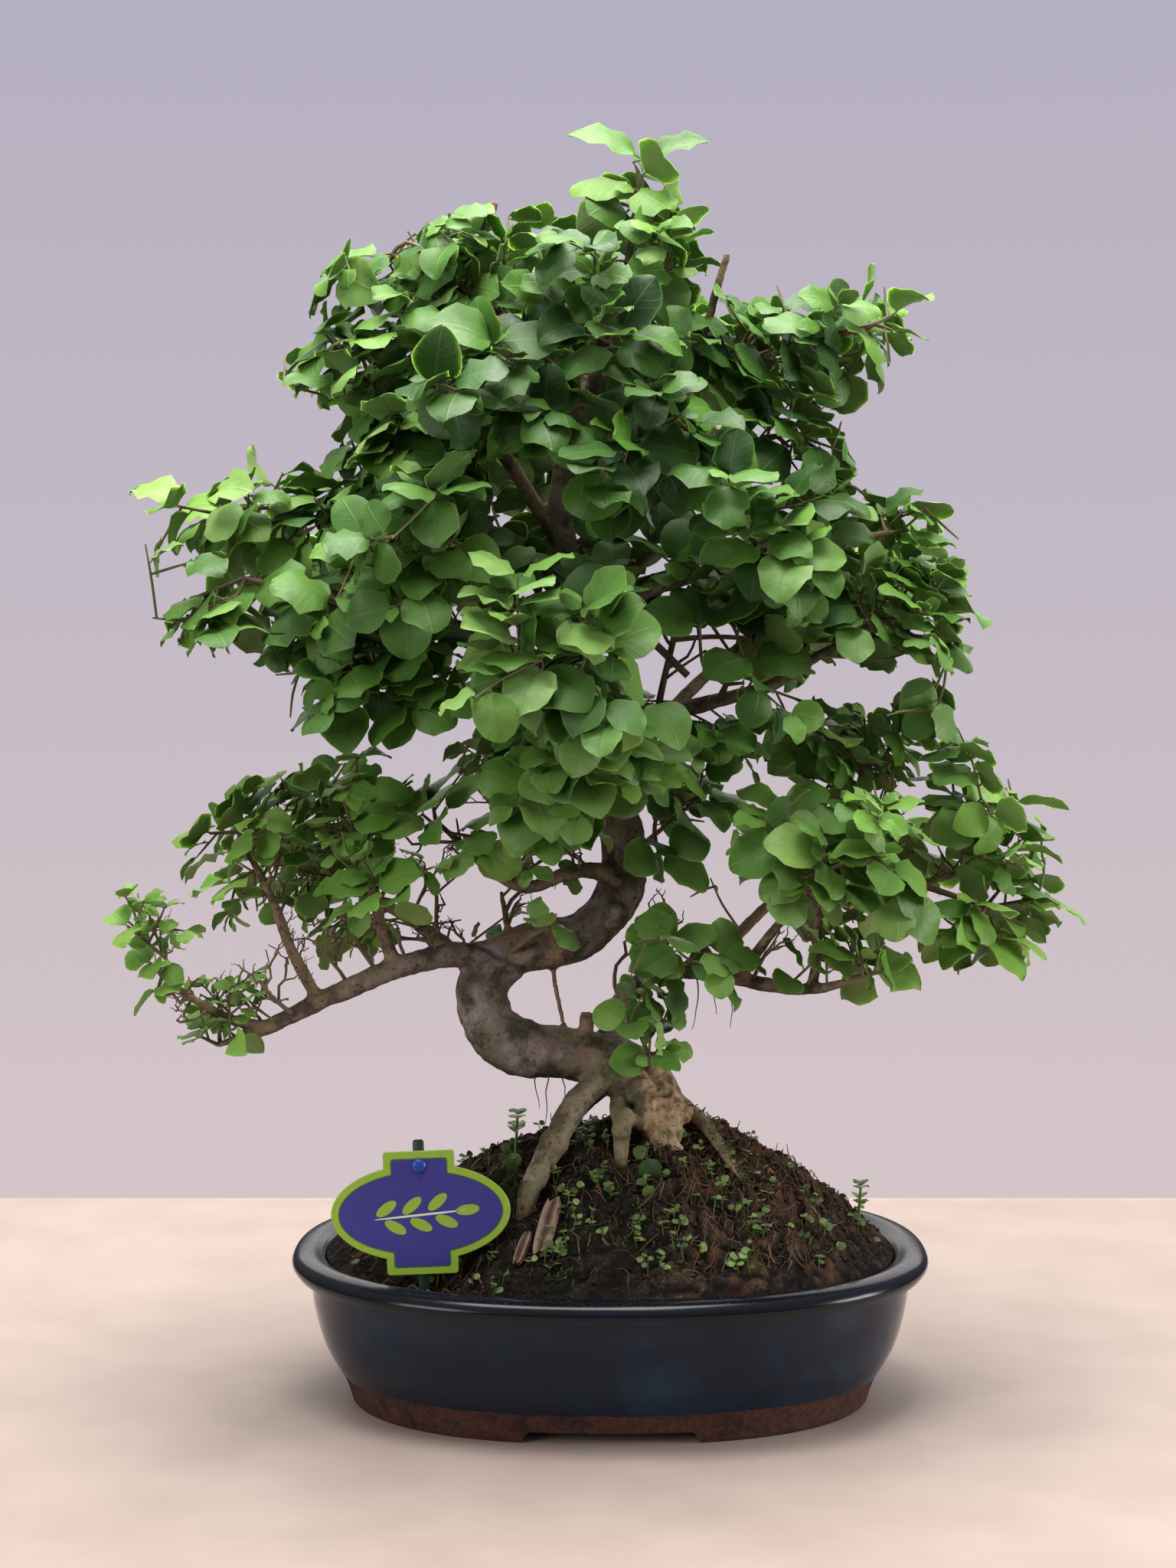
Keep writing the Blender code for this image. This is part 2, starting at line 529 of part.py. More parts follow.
class Crowd:
    """The solids placed so far, which the next leaf or shoot has to stay clear of."""

    def __init__(self):
        self.members = []

    def add(self, shape):
        points = [Vector(point) for point in shape[0]]
        middle = sum(points, Vector()) / len(points)
        radius = max((point - middle).length for point in points)
        tree = BVHTree.FromPolygons(points, shape[1])
        self.members.append((middle, radius, tree))

    def holds(self, point):
        """True if the point lies inside one of them."""
        for middle, radius, tree in self.members:
            if (point - middle).length > radius:
                continue
            crossings = 0
            hit = tree.ray_cast(point, UP)[0]
            while hit is not None:
                crossings += 1
                hit = tree.ray_cast(hit + UP * 0.001, UP)[0]
            if crossings % 2:
                return True
        return False

    def blocks(self, shape):
        points = [Vector(point) for point in shape[0]]
        middle = sum(points, Vector()) / len(points)
        radius = max((point - middle).length for point in points)
        tree = None
        for other_middle, other_radius, other_tree in self.members:
            if (other_middle - middle).length > radius + other_radius:
                continue
            tree = tree or BVHTree.FromPolygons(points, shape[1])
            if tree.overlap(other_tree):
                return True
        return False


def blade_sections(base, along, facing, length, width, outline=BLADE_OUTLINE, thick=BLADE_THICK):
    """The cross sections of a leaf that is a little curled. The last one is its tip."""
    side = along.cross(facing).normalized()
    sections = []
    for t, half in outline:
        middle = base + along * t * length + facing * BLADE_CURL * length * (t - 1.6 * t * t)
        lift, across = facing * thick / 2, side * half * width
        if half:
            section = [middle + lift - across, middle + lift + across,
                       middle - lift + across, middle - lift - across]
        else:
            section = [middle + lift, middle - lift]
        sections.append(section)
    return sections


def blade_proxy(base, along, facing, length, width):
    """A closed shell a little fatter than a leaf, from its neck on, to test what is near."""
    outline = (BLADE_NECK,) + BLADE_OUTLINE
    sections = blade_sections(base, along, facing, length * 1.02, width * 1.06, outline, 1.5)
    points = [point for section in sections for point in section]
    last = len(points) - 6
    top, bottom = last + 4, last + 5
    faces = [(3, 2, 1, 0), (last, last + 1, top), (last + 2, last + 3, bottom),
             (last + 1, last + 2, bottom, top), (last + 3, last, top, bottom)]
    for start in range(0, last, 4):
        for k in range(4):
            after = (k + 1) % 4
            faces.append((start + k, start + after, start + after + 4, start + k + 4))
    return points, faces


class Growth:
    """A skin out of whose four-sided faces twigs and leaves are pulled."""

    def __init__(self, path):
        self.points, self.faces = [], []
        heading = path[1].xyz - path[0].xyz
        side = unit(heading).orthogonal().normalized()
        other = unit(heading).cross(side)
        ring = []
        for turn in range(4):
            angle = math.pi / 2 * turn
            way = side * math.cos(angle) + other * math.sin(angle)
            ring.append(self.place(path[0].xyz + way * path[0].w))
        self.faces.append(tuple(ring[::-1]))
        self.end = tuple(ring)

    def place(self, point):
        self.points.append(point)
        return len(self.points) - 1

    def middle_of(self, face):
        return sum((self.points[k] for k in face), Vector()) / len(face)

    def normal_of(self, face):
        a, b, c, d = (self.points[k] for k in face)
        return unit((c - a).cross(d - b))

    def pull_tube(self, face, path):
        """Pulls a face out along the rest of a path. Returns the side faces of each stretch."""
        if face in self.faces:
            self.faces.remove(face)
        stretches = []
        before = self.middle_of(face)
        for stop in path:
            turn = self.normal_of(face).rotation_difference(unit(stop.xyz - before))
            middle = self.middle_of(face)
            ring = []
            for k in face:
                way = turn @ unit(self.points[k] - middle)
                ring.append(self.place(stop.xyz + way * stop.w))
            sides = []
            for k in range(4):
                after = (k + 1) % 4
                sides.append((face[k], face[after], ring[after], ring[k]))
            self.faces += sides
            stretches.append(sides)
            face, before = tuple(ring), stop.xyz
        self.end = face
        return stretches

    def close(self, face):
        self.faces.append(face)

    def pull_leaf(self, face, sections):
        """Pulls a leaf out of a face. Its two sides are split into the same triangles."""
        if face in self.faces:
            self.faces.remove(face)
        first = sections[0]
        middle, target = self.middle_of(face), sum(first, Vector()) / 4
        ways = [unit(self.points[k] - middle) for k in face]
        goals = [unit(point - target) for point in first]

        def fit(turn):
            return sum(ways[(k + turn) % 4].dot(goals[k]) for k in range(4))

        turn = max(range(4), key=fit)
        ring = [face[(k + turn) % 4] for k in range(4)]
        for section in sections[:-1]:
            after = [self.place(point) for point in section]
            self.faces += [(ring[0], ring[1], after[1]), (ring[0], after[1], after[0])]
            self.faces += [(ring[3], after[2], ring[2]), (ring[3], after[3], after[2])]
            self.faces += [(ring[1], ring[2], after[2], after[1])]
            self.faces += [(ring[3], ring[0], after[0], after[3])]
            ring = after
        top, bottom = (self.place(point) for point in sections[-1])
        self.faces += [(ring[0], ring[1], top), (ring[3], bottom, ring[2])]
        self.faces += [(ring[1], ring[2], bottom, top), (ring[3], ring[0], top, bottom)]


def leaf_stance(draw, place, heading, way, spread):
    """Which way a leaf points and faces: off its shoot to one side, and up and out of the crown."""
    lean = math.radians(spread)
    along = unit(heading * math.cos(lean) + way * math.sin(lean) - BLADE_DROOP * UP)
    outward = unit(Vector((place.x * 0.5, place.y, 0)))
    sway = Vector([draw.uniform(-1, 1) for _ in range(3)])
    facing = UP + 0.9 * outward + 0.55 * sway
    return along, unit(facing - along * facing.dot(along))


def leaves_face(stance, seat, normal):
    """True if the whole neck of the leaf lies in front of the face it grows from."""
    ways = [unit(point - seat) for point in blade_sections(*stance)[0]]
    return min(way.dot(normal) for way in ways) > LEAST_NECK_RISE


def leaf_at(draw, seat, normal, heading, way, length, crowd):
    """A leaf that grows from one side of a twig, turned until it is clear of all else, or None."""
    for attempt in range(LEAF_TRIES):
        size = length * draw.uniform(0.92, 1.1) * (1 - 0.012 * attempt)
        width = size * draw.uniform(*BLADE_WIDTHS)
        lean = LEAF_SPREAD + draw.uniform(-0.5, 1) * (8 + attempt)
        twist = heading.cross(way) * draw.uniform(-0.5, 0.5) * (1 + attempt / 8)
        along, facing = leaf_stance(draw, seat, heading, unit(way + twist), lean)
        stance = (seat, along, facing, size, width)
        proxy = blade_proxy(*stance)
        low = min(point.z - soil_height(point.x, point.y) for point in proxy[0])
        if low > SOIL_CLEAR and leaves_face(stance, seat, normal) and not crowd.blocks(proxy):
            crowd.add(proxy)
            return stance
    return None


def shoot_stops(draw, start, heading, tip, length, loose):
    """A shoot from start, which stops short of tip by most of a leaf's length. A long one bends."""
    reach = tip - start
    sway = Vector([draw.uniform(-1, 1) for _ in range(3)]) * loose
    way = unit(unit(reach) + sway)
    span = max(SHORTEST_SHOOT, reach.length - LEAF_SHARE * length)
    end = start + way * span
    middle = start + (unit(heading) * 0.35 + way * 0.65 - sway) * 0.45 * span
    thick, thin = SHOOT_RADII
    stops = [Vector((*start, thick))]
    if span > STRAIGHT_UNDER or loose > STIFF_UNDER:
        stops.append(Vector((*middle, (thick + thin) / 2)))
    node = end - unit(end - stops[-1].xyz) * NODE_LENGTH
    return stops + [Vector((*node, thin)), Vector((*end, thin))]


def clear_shoot(draw, start, heading, tip, length, crowd):
    """The first of several such shoots that meets nothing, or None."""
    for attempt in range(SHOOT_TRIES):
        stops = shoot_stops(draw, start, heading, tip, length, SHOOT_LOOSENS * attempt)
        first, second = stops[0], stops[1]
        past_hub = min(0.6, 2 * HUB_RADIUS / (second.xyz - first.xyz).length)
        shell = tube([first.lerp(second, past_hub)] + stops[1:], 4, grow=0.5)
        if not crowd.blocks(shell):
            crowd.add(shell)
            return stops
    return None


def best_face(growth, faces, way, taken):
    free = [face for face in faces if face not in taken]
    return max(free, key=lambda face: growth.normal_of(face).dot(way))


def spray_start(name, paths, ends_taken, crowd):
    """Where a spray's stem leaves its limb, its heading there and how long it is.

    The first spray at a limb's end grows on from the end itself. Any other stands on the limb's
    side, as near as the gap between two pieces allows.
    """
    limb_name, length, tips = SPRAYS[name]
    limb = paths[limb_name]
    middle = sum((Vector(tip) for tip in tips), Vector()) / len(tips)
    nearest = min(range(len(limb)), key=lambda k: (limb[k].xyz - middle).length)
    if nearest == len(limb) - 1 and limb_name not in ends_taken:
        ends_taken.add(limb_name)
        heading = unit(limb[-1].xyz - limb[-2].xyz)
        return limb[-1].xyz + heading * GAP, heading, SHORTEST_STEM
    start = limb[min(len(limb) - 2, max(0, nearest - 1))].xyz.copy()
    heading = unit(middle - start)
    buried = True
    while buried:
        start += heading * 0.2
        foot = [Vector((*start, STEM_RADIUS)), Vector((*(start + heading * 2), STEM_RADIUS))]
        buried = crowd.holds(start) or crowd.blocks(tube(foot, 4, grow=GAP))
    nearest_tip = min((Vector(tip) - start).length for tip in tips)
    reach = min(STEM_SHARE * (middle - start).length, nearest_tip - length)
    return start, heading, max(SHORTEST_STEM, reach)


def spray_hub(start, heading, reach, nodes):
    """The stem of a spray, with a short stretch for each pair of side shoots."""
    place = start + heading * reach
    hub = [Vector((*start, STEM_RADIUS)), Vector((*place, HUB_RADIUS))]
    for number in range(nodes):
        steps = (NODE_LENGTH,) if number == 0 else (NODE_APART, NODE_LENGTH)
        for step in steps:
            place = place + heading * step
            hub.append(Vector((*place, HUB_RADIUS)))
    return hub


def shoot_seats(growth, hub):
    """The stem's skin, and the middle of the hub behind each face that a shoot may leave from."""
    stretches = growth.pull_tube(growth.end, hub[1:])
    seats = {growth.end: hub[-1].xyz}
    for node in range(1, len(stretches), 2):
        middle = hub[node].xyz.lerp(hub[node + 1].xyz, 0.5)
        seats.update({face: middle for face in stretches[node]})
    return seats


def grow_shoots(name, root, crowd):
    """The skin of a spray's stem and, for each of its shoots, its stops and its last sides."""
    start, heading, reach = root
    _, length, tips = SPRAYS[name]
    tips = sorted((Vector(tip) for tip in tips), key=lambda tip: -unit(tip - start).dot(heading))
    hub = spray_hub(start, heading, reach, len(tips) // 2)
    growth = Growth(hub)
    seats = shoot_seats(growth, hub)
    end = growth.end
    draw = random.Random(name)
    grown = {}
    for tip in tips:
        free = [face for face in seats if face not in grown]
        face = max(free, key=lambda f: growth.normal_of(f).dot(unit(tip - seats[f])))
        stops = clear_shoot(draw, seats[face], growth.normal_of(face), tip, length, crowd)
        if stops:
            grown[face] = stops
        else:
            print("no clear way for", name, tuple(tip))
    if end not in grown:
        growth.close(end)
    shoots = []
    for face, stops in grown.items():
        sides = growth.pull_tube(face, stops[1:])[-1]
        shoots.append((stops, sides, growth.end))
    return growth, shoots


def add_leaves(name, growth, shoots, crowd):
    """A pair of leaves at the end of each shoot, on opposite faces of its last stretch."""
    length = SPRAYS[name][1]
    placed = 0
    for number, (stops, sides, cap) in enumerate(shoots):
        draw = random.Random(f"{name} {number}")
        heading = unit(stops[-1].xyz - stops[-2].xyz)
        level = unit(heading.cross(UP) + Vector((0.01, 0, 0)))
        taken = []
        for side in (1, -1):
            face = best_face(growth, sides, level * side, taken)
            normal = growth.normal_of(face)
            way = unit(normal + 0.4 * side * level)
            stance = leaf_at(draw, growth.middle_of(face), normal, heading, way, length, crowd)
            if stance:
                growth.pull_leaf(face, blade_sections(*stance))
                taken.append(face)
                placed += 1
        growth.close(cap)
    return placed


def make_sprays(paths, crowd):
    """All stems and shoots find their way first, then the leaves fill the room between them."""
    leaf_green = material("leaf_green", (0.09, 0.22, 0.04), 0.4)
    ends_taken = set()
    roots = {name: spray_start(name, paths, ends_taken, crowd) for name in SPRAYS}
    for name, (start, heading, reach) in roots.items():
        hub = spray_hub(start + heading, heading, reach, len(SPRAYS[name][2]) // 2)
        crowd.add(tube(hub, 4, grow=0.1))
    grown = {name: grow_shoots(name, roots[name], crowd) for name in SPRAYS}
    placed = 0
    for name, (growth, shoots) in grown.items():
        placed += add_leaves(name, growth, shoots, crowd)
        add_mesh("spray_" + name, (growth.points, growth.faces), leaf_green)
    shoots = sum(len(shoots) for _, shoots in grown.values())
    print(len(SPRAYS), "sprays with", shoots, "shoots and", placed, "leaves")


def make_wood(paths):
    """Trunk, roots and limbs fused into one solid. Returns the shapes it is made of."""
    bark = material("bark", (0.16, 0.12, 0.09), 0.85)
    shapes = [tube(paths["trunk"], TRUNK_SIDES, knots=TRUNK_KNOTS)]
    for name, path in paths.items():
        if name in ROOTS:
            shapes.append(tube(path, ROOT_SIDES, knots=ROOT_KNOTS))
        elif name in LIMBS:
            sides = LIMB_SIDES if path[0].w > 4 else LIMB_SIDES - 1
            shapes.append(tube(path, sides, knots=LIMB_KNOTS))
    wood = add_mesh("wood", shapes[0], bark)
    others = [add_mesh("limb", shape, bark) for shape in shapes[1:]]
    combine(wood, others, "UNION")
    return shapes


def chip_shape(low, high, width, thick, grow=0.0):
    """A bit of bark that lies on the slope of the soil."""
    ends = []
    for place in (low, high):
        ends.append(Vector((*place, soil_height(*place) + 0.2 * thick)))
    heading = unit(ends[1] - ends[0])
    side = unit(heading.cross(UP))
    lift = side.cross(heading)
    rings = []
    for share, scale in ((0, 0.55), (0.3, 1), (0.7, 0.9), (1, 0.5)):
        middle = ends[0].lerp(ends[1], share)
        if share in (0, 1):
            middle = middle + heading * (grow if share else -grow)
        half, rise = width * scale / 2 + grow, thick / 2 + grow
        section = ((-half, 0), (-half * 0.5, rise), (half * 0.6, rise * 0.8), (half, 0),
                   (half * 0.5, -rise), (-half * 0.6, -rise))
        rings.append([middle + side * across + lift * up for across, up in section])
    return skin(rings)


def make_chips():
    bark = material("bark_chip", (0.3, 0.2, 0.13), 0.9)
    for name, (low, high, width, thick) in CHIPS.items():
        add_mesh(name, chip_shape(low, high, width, thick), bark)
    return [chip_shape(*chip, grow=GAP) for chip in CHIPS.values()]


def seedling_stops(place, height):
    """Down the hole, then up past two nodes of leaves."""
    low = soil_height(*place)
    x, y = place
    ups = ((-9, 0.8), (0.55 * height, 0.7), (0.55 * height + 1, 0.7), (height - 1, 0.6),
           (height, 0.6))
    return [Vector((x + 0.06 * up, y - 0.04 * up, low + up, radius)) for up, radius in ups]


def seedling_stem(place, height, grow=0.0):
    return tube(seedling_stops(place, height), 4, grow=grow)


def make_seedlings():
    """Two young plants, each a stem with two pairs of round leaves."""
    green = material("seedling_green", (0.12, 0.3, 0.05), 0.5)
    for name, (place, height, length) in SEEDLINGS.items():
        stops = seedling_stops(place, height)
        growth = Growth(stops)
        stretches = growth.pull_tube(growth.end, stops[1:])
        growth.close(growth.end)
        for sides in (stretches[1], stretches[3]):
            for face in (sides[0], sides[2]):
                base, way = growth.middle_of(face), growth.normal_of(face)
                along = unit(way + 0.3 * UP)
                facing = unit(UP - along * along.dot(UP))
                stance = (base, along, facing, length, length * 0.75)
                growth.pull_leaf(face, blade_sections(*stance))
        add_mesh(name, (growth.points, growth.faces), green)
    return [seedling_stem(place, height, grow=GAP)
            for place, height, _ in SEEDLINGS.values()]


def label_frame():
    """From the label's own plane, with its face at -Y, to where it stands."""
    lean = Matrix.Rotation(math.radians(-LABEL_LEAN), 4, "X")
    roll = Matrix.Rotation(math.radians(-LABEL_ROLL), 4, "Y")
    return Matrix.Translation(Vector(LABEL_AT)) @ lean @ roll


def placed(shape, frame):
    points, faces = shape
    return [frame @ Vector(point) for point in points], faces


def label_outline():
    """The plate's edge: a lying oval with a stepped tab above and below, from the right end."""
    corner = math.acos(LABEL_TAB_HALF_WIDTH / LABEL_HALF_WIDTH)
    quarter = []
    for k in range(6):
        angle = corner * k / 5
        quarter.append((LABEL_HALF_WIDTH * math.cos(angle), LABEL_HALF_HEIGHT * math.sin(angle)))
    quarter.append((LABEL_TAB_HALF_WIDTH, LABEL_TAB_TOP - 1.5))
    quarter.append((LABEL_TAB_HALF_WIDTH - 1.5, LABEL_TAB_TOP))
    upper = quarter + [(-x, z) for x, z in quarter[::-1]]
    return upper + [(x, -z) for x, z in upper[::-1]][1:-1]


def upright_disc(radius, front, back, height):
    """A round bar along Y in the label's own plane."""
    points, faces = disc(radius, front, back, sides=PEG_SIDES)
    return [(x, z, y + height) for x, y, z in points], faces


def stake_shape(grow=0.0):
    near = LABEL_THICK / 2 + GAP
    half = STAKE_WIDTH / 2 + grow
    rings = []
    for z, share in ((STAKE_BOTTOM - grow, 0.3), (STAKE_BOTTOM + 12, 1), (STAKE_TOP, 1)):
        wide = half * share
        rings.append([(-wide, near - grow, z), (wide, near - grow, z),
                      (wide, near + STAKE_THICK + grow, z), (-wide, near + STAKE_THICK + grow, z)])
    return skin(rings)


def make_label():
    """The plate, the stake behind it and the peg through both."""
    frame = label_frame()
    near = -LABEL_THICK / 2
    far = LABEL_THICK / 2 + GAP + STAKE_THICK
    plate_rings = [[(x, y, z) for x, z in label_outline()] for y in (near, -near)]
    print_finish = material("label_plastic", (0.12, 0.25, 0.3), 0.35)
    plate = add_mesh("label_plate", placed(skin(plate_rings), frame), print_finish)
    stake_finish = material("stake_plastic", (0.02, 0.08, 0.05), 0.4)
    stake = add_mesh("label_stake", placed(stake_shape(), frame), stake_finish)
    hole = upright_disc(PEG_RADIUS + GAP, near - 3, far + 3, PEG_HEIGHT)
    for piece in (plate, stake):
        combine(piece, [add_mesh("peg_cutter", placed(hole, frame), print_finish)], "DIFFERENCE")
    peg_finish = material("peg_plastic", (0.05, 0.12, 0.4), 0.3)
    seat = near - GAP
    rings = []
    steps = ((seat - 1.9, 1.4), (seat - 1.4, 2.7), (seat - 0.5, PEG_HEAD_RADIUS),
             (seat, PEG_HEAD_RADIUS), (seat, PEG_RADIUS), (far, PEG_RADIUS))
    for y, radius in steps:
        turns = [2 * math.pi * k / PEG_SIDES for k in range(PEG_SIDES)]
        rings.append([(radius * math.cos(a), y, PEG_HEIGHT + radius * math.sin(a)) for a in turns])
    add_mesh("label_peg", placed(skin(rings), frame), peg_finish)
    return [placed(stake_shape(grow=GAP), frame)]


def make_soil(paths, cavities):
    """The mound, with a hole for all that stands in it and a pocket over each screen."""
    earth = material("soil", (0.03, 0.02, 0.015), 1.0)
    soil = add_mesh("soil", soil_mound(), earth)
    holes = [tube(paths["trunk"][:4], TRUNK_SIDES, ROOT_GAP, TRUNK_KNOTS)]
    holes += [tube(paths[name], ROOT_SIDES, ROOT_GAP, ROOT_KNOTS) for name in ROOTS]
    reach = SCREEN_SIDE / 2 + GAP
    top = POT_FLOOR + 2 * GAP + SCREEN_THICK
    for x in (-DRAIN_X, DRAIN_X):
        holes.append(box((x - reach, -reach, POT_FLOOR - 1), (x + reach, reach, top)))
    for number, hole in enumerate(holes + cavities):
        combine(soil, [add_mesh(f"hole_{number}", hole, earth)], "DIFFERENCE")


def main():
    clear_scene()
    make_pot()
    make_screens()
    paths = limb_paths()
    crowd = Crowd()
    for shape in make_wood(paths):
        crowd.add(shape)
    make_soil(paths, make_chips() + make_seedlings() + make_label())
    make_sprays(paths, crowd)


main()
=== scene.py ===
"""The looks of the chinese privet bonsai: fine leaves, twigs, bark, soil, glaze and label.

The tree's own sizes are in millimetres, as in its construction, and MM turns them into metres.
Limbs, stems, shoots and leaves are grown by the construction's own rules and random seeds, so
each fine piece lies where its plain solid is, and further shoots and leaves fill the crown.
"""

import math
import random
from itertools import product

import bpy
import bmesh
import numpy as np
from mathutils import Matrix, Vector, noise
from mathutils.bvhtree import BVHTree
from mathutils.kdtree import KDTree


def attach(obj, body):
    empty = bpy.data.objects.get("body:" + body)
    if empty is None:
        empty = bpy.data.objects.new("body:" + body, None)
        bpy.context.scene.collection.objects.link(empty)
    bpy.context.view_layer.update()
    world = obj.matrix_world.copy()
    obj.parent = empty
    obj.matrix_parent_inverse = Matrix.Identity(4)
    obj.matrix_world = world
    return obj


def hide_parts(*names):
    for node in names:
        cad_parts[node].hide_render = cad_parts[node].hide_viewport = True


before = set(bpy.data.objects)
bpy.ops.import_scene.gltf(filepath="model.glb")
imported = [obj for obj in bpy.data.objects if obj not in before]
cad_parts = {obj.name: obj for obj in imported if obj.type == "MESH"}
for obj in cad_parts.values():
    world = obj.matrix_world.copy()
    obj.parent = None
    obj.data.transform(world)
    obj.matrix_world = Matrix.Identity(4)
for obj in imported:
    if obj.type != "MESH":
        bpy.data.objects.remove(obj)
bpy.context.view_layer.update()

MM = 0.001
GAP = 0.35  # left between two pieces that touch
UP = Vector((0, 0, 1))

# The pot: an oval between an ellipse and a rectangle, (half width, height) up its outside
OVAL_POWER = 2.3
POT_NARROWER = 33.5  # how much less its half depth is than its half width
POT_OUTSIDE = ((127, 0), (131, 12), (140, 29), (145, 48), (146, 62))
POT_LIP = ((153, 63.5), (155.5, 68), (152.5, 72.6), (146, 74), (140.5, 72))
POT_INSIDE = ((138, 66), (134, 38), (124, 14))
POT_FLOOR = 14
FOOT_HEIGHT, FOOT_WIDTH = 6, 12
SLOT_BOTTOM, SLOT_TOP = 84, 78  # width of the gap between the two feet
DRAIN_RADIUS, DRAIN_X = 10, 62

# The soil: a mound that is highest a little right of the middle
SOIL_MIDDLE = 22
SOIL_EDGE, SOIL_RISE = 70, 69
SOIL_POWER, SOIL_FULLNESS = 1.6, 0.9
SOIL_LUMP_SPAN, SOIL_LUMP_RISE = 24, 4.5
LABEL_HOLLOW = (-89, -76, 23, 42)  # x, y, depth and radius of the dip round the label
SCREEN_THICK = 1.2

# The trunk: x, y, height and radius
TRUNK = (
    (26, 3, 112, 12), (23, 1, 132, 14.5), (19, 0, 149, 15), (1, -4, 163, 14), (-21, -8, 169, 13),
    (-43, -10, 171, 13.5), (-58, -10, 183, 13.5), (-61, -8, 199, 12.8), (-54, -4, 213, 12.5),
    (-40, 0, 220, 12), (-17, 4, 224, 11.8), (1, 6, 239, 11.5), (7, 6, 262, 11.3), (4, 4, 280, 10.5),
    (-1, 2, 297, 9), (-6, 0, 312, 8.5), (-10, 0, 331, 7.5), (-12, 0, 353, 7), (-14, 0, 383, 6.6),
    (-21, 0, 412, 5.8), (-25, 0, 438, 5.2), (-21, 0, 460, 4.5), (-12, 0, 482, 4), (-3, 0, 511, 3.2),
    (6, 0, 536, 2.6), (9, 0, 556, 2), (12, 0, 570, 1.6),
)

# The roots, from the trunk down into the soil
ROOTS = {
    "root_arch": ((10, -4, 156, 8), (-6, -16, 156, 6.5), (-18, -32, 147, 6.5), (-25, -38, 136, 6.3),
        (-33, -46, 122, 6), (-40, -56, 107, 5), (-42, -58, 90, 4)),
    "root_middle": ((8, -6, 154, 5), (4, -20, 149, 4.4), (5, -31, 138, 4), (5, -38, 124, 3.6),
        (6, -46, 104, 3)),
    "root_burl": ((19, -2, 151, 10), (21, -16, 147, 10.5), (24, -25, 135, 10), (27, -31, 121, 7),
        (30, -36, 100, 3.6)),
    "root_right": ((22, 0, 148, 7), (34, -3, 143, 4.6), (47, -7, 131, 3.8), (56, -12, 117, 3.5),
        (68, -20, 98, 3)),
    "root_back": ((19, 2, 150, 8), (20, 18, 143, 6.5), (16, 36, 130, 5), (12, 54, 108, 3.6)),
    "root_back_left": ((8, 2, 158, 6), (-4, 16, 147, 5), (-20, 32, 128, 4), (-32, 44, 104, 3)),
}

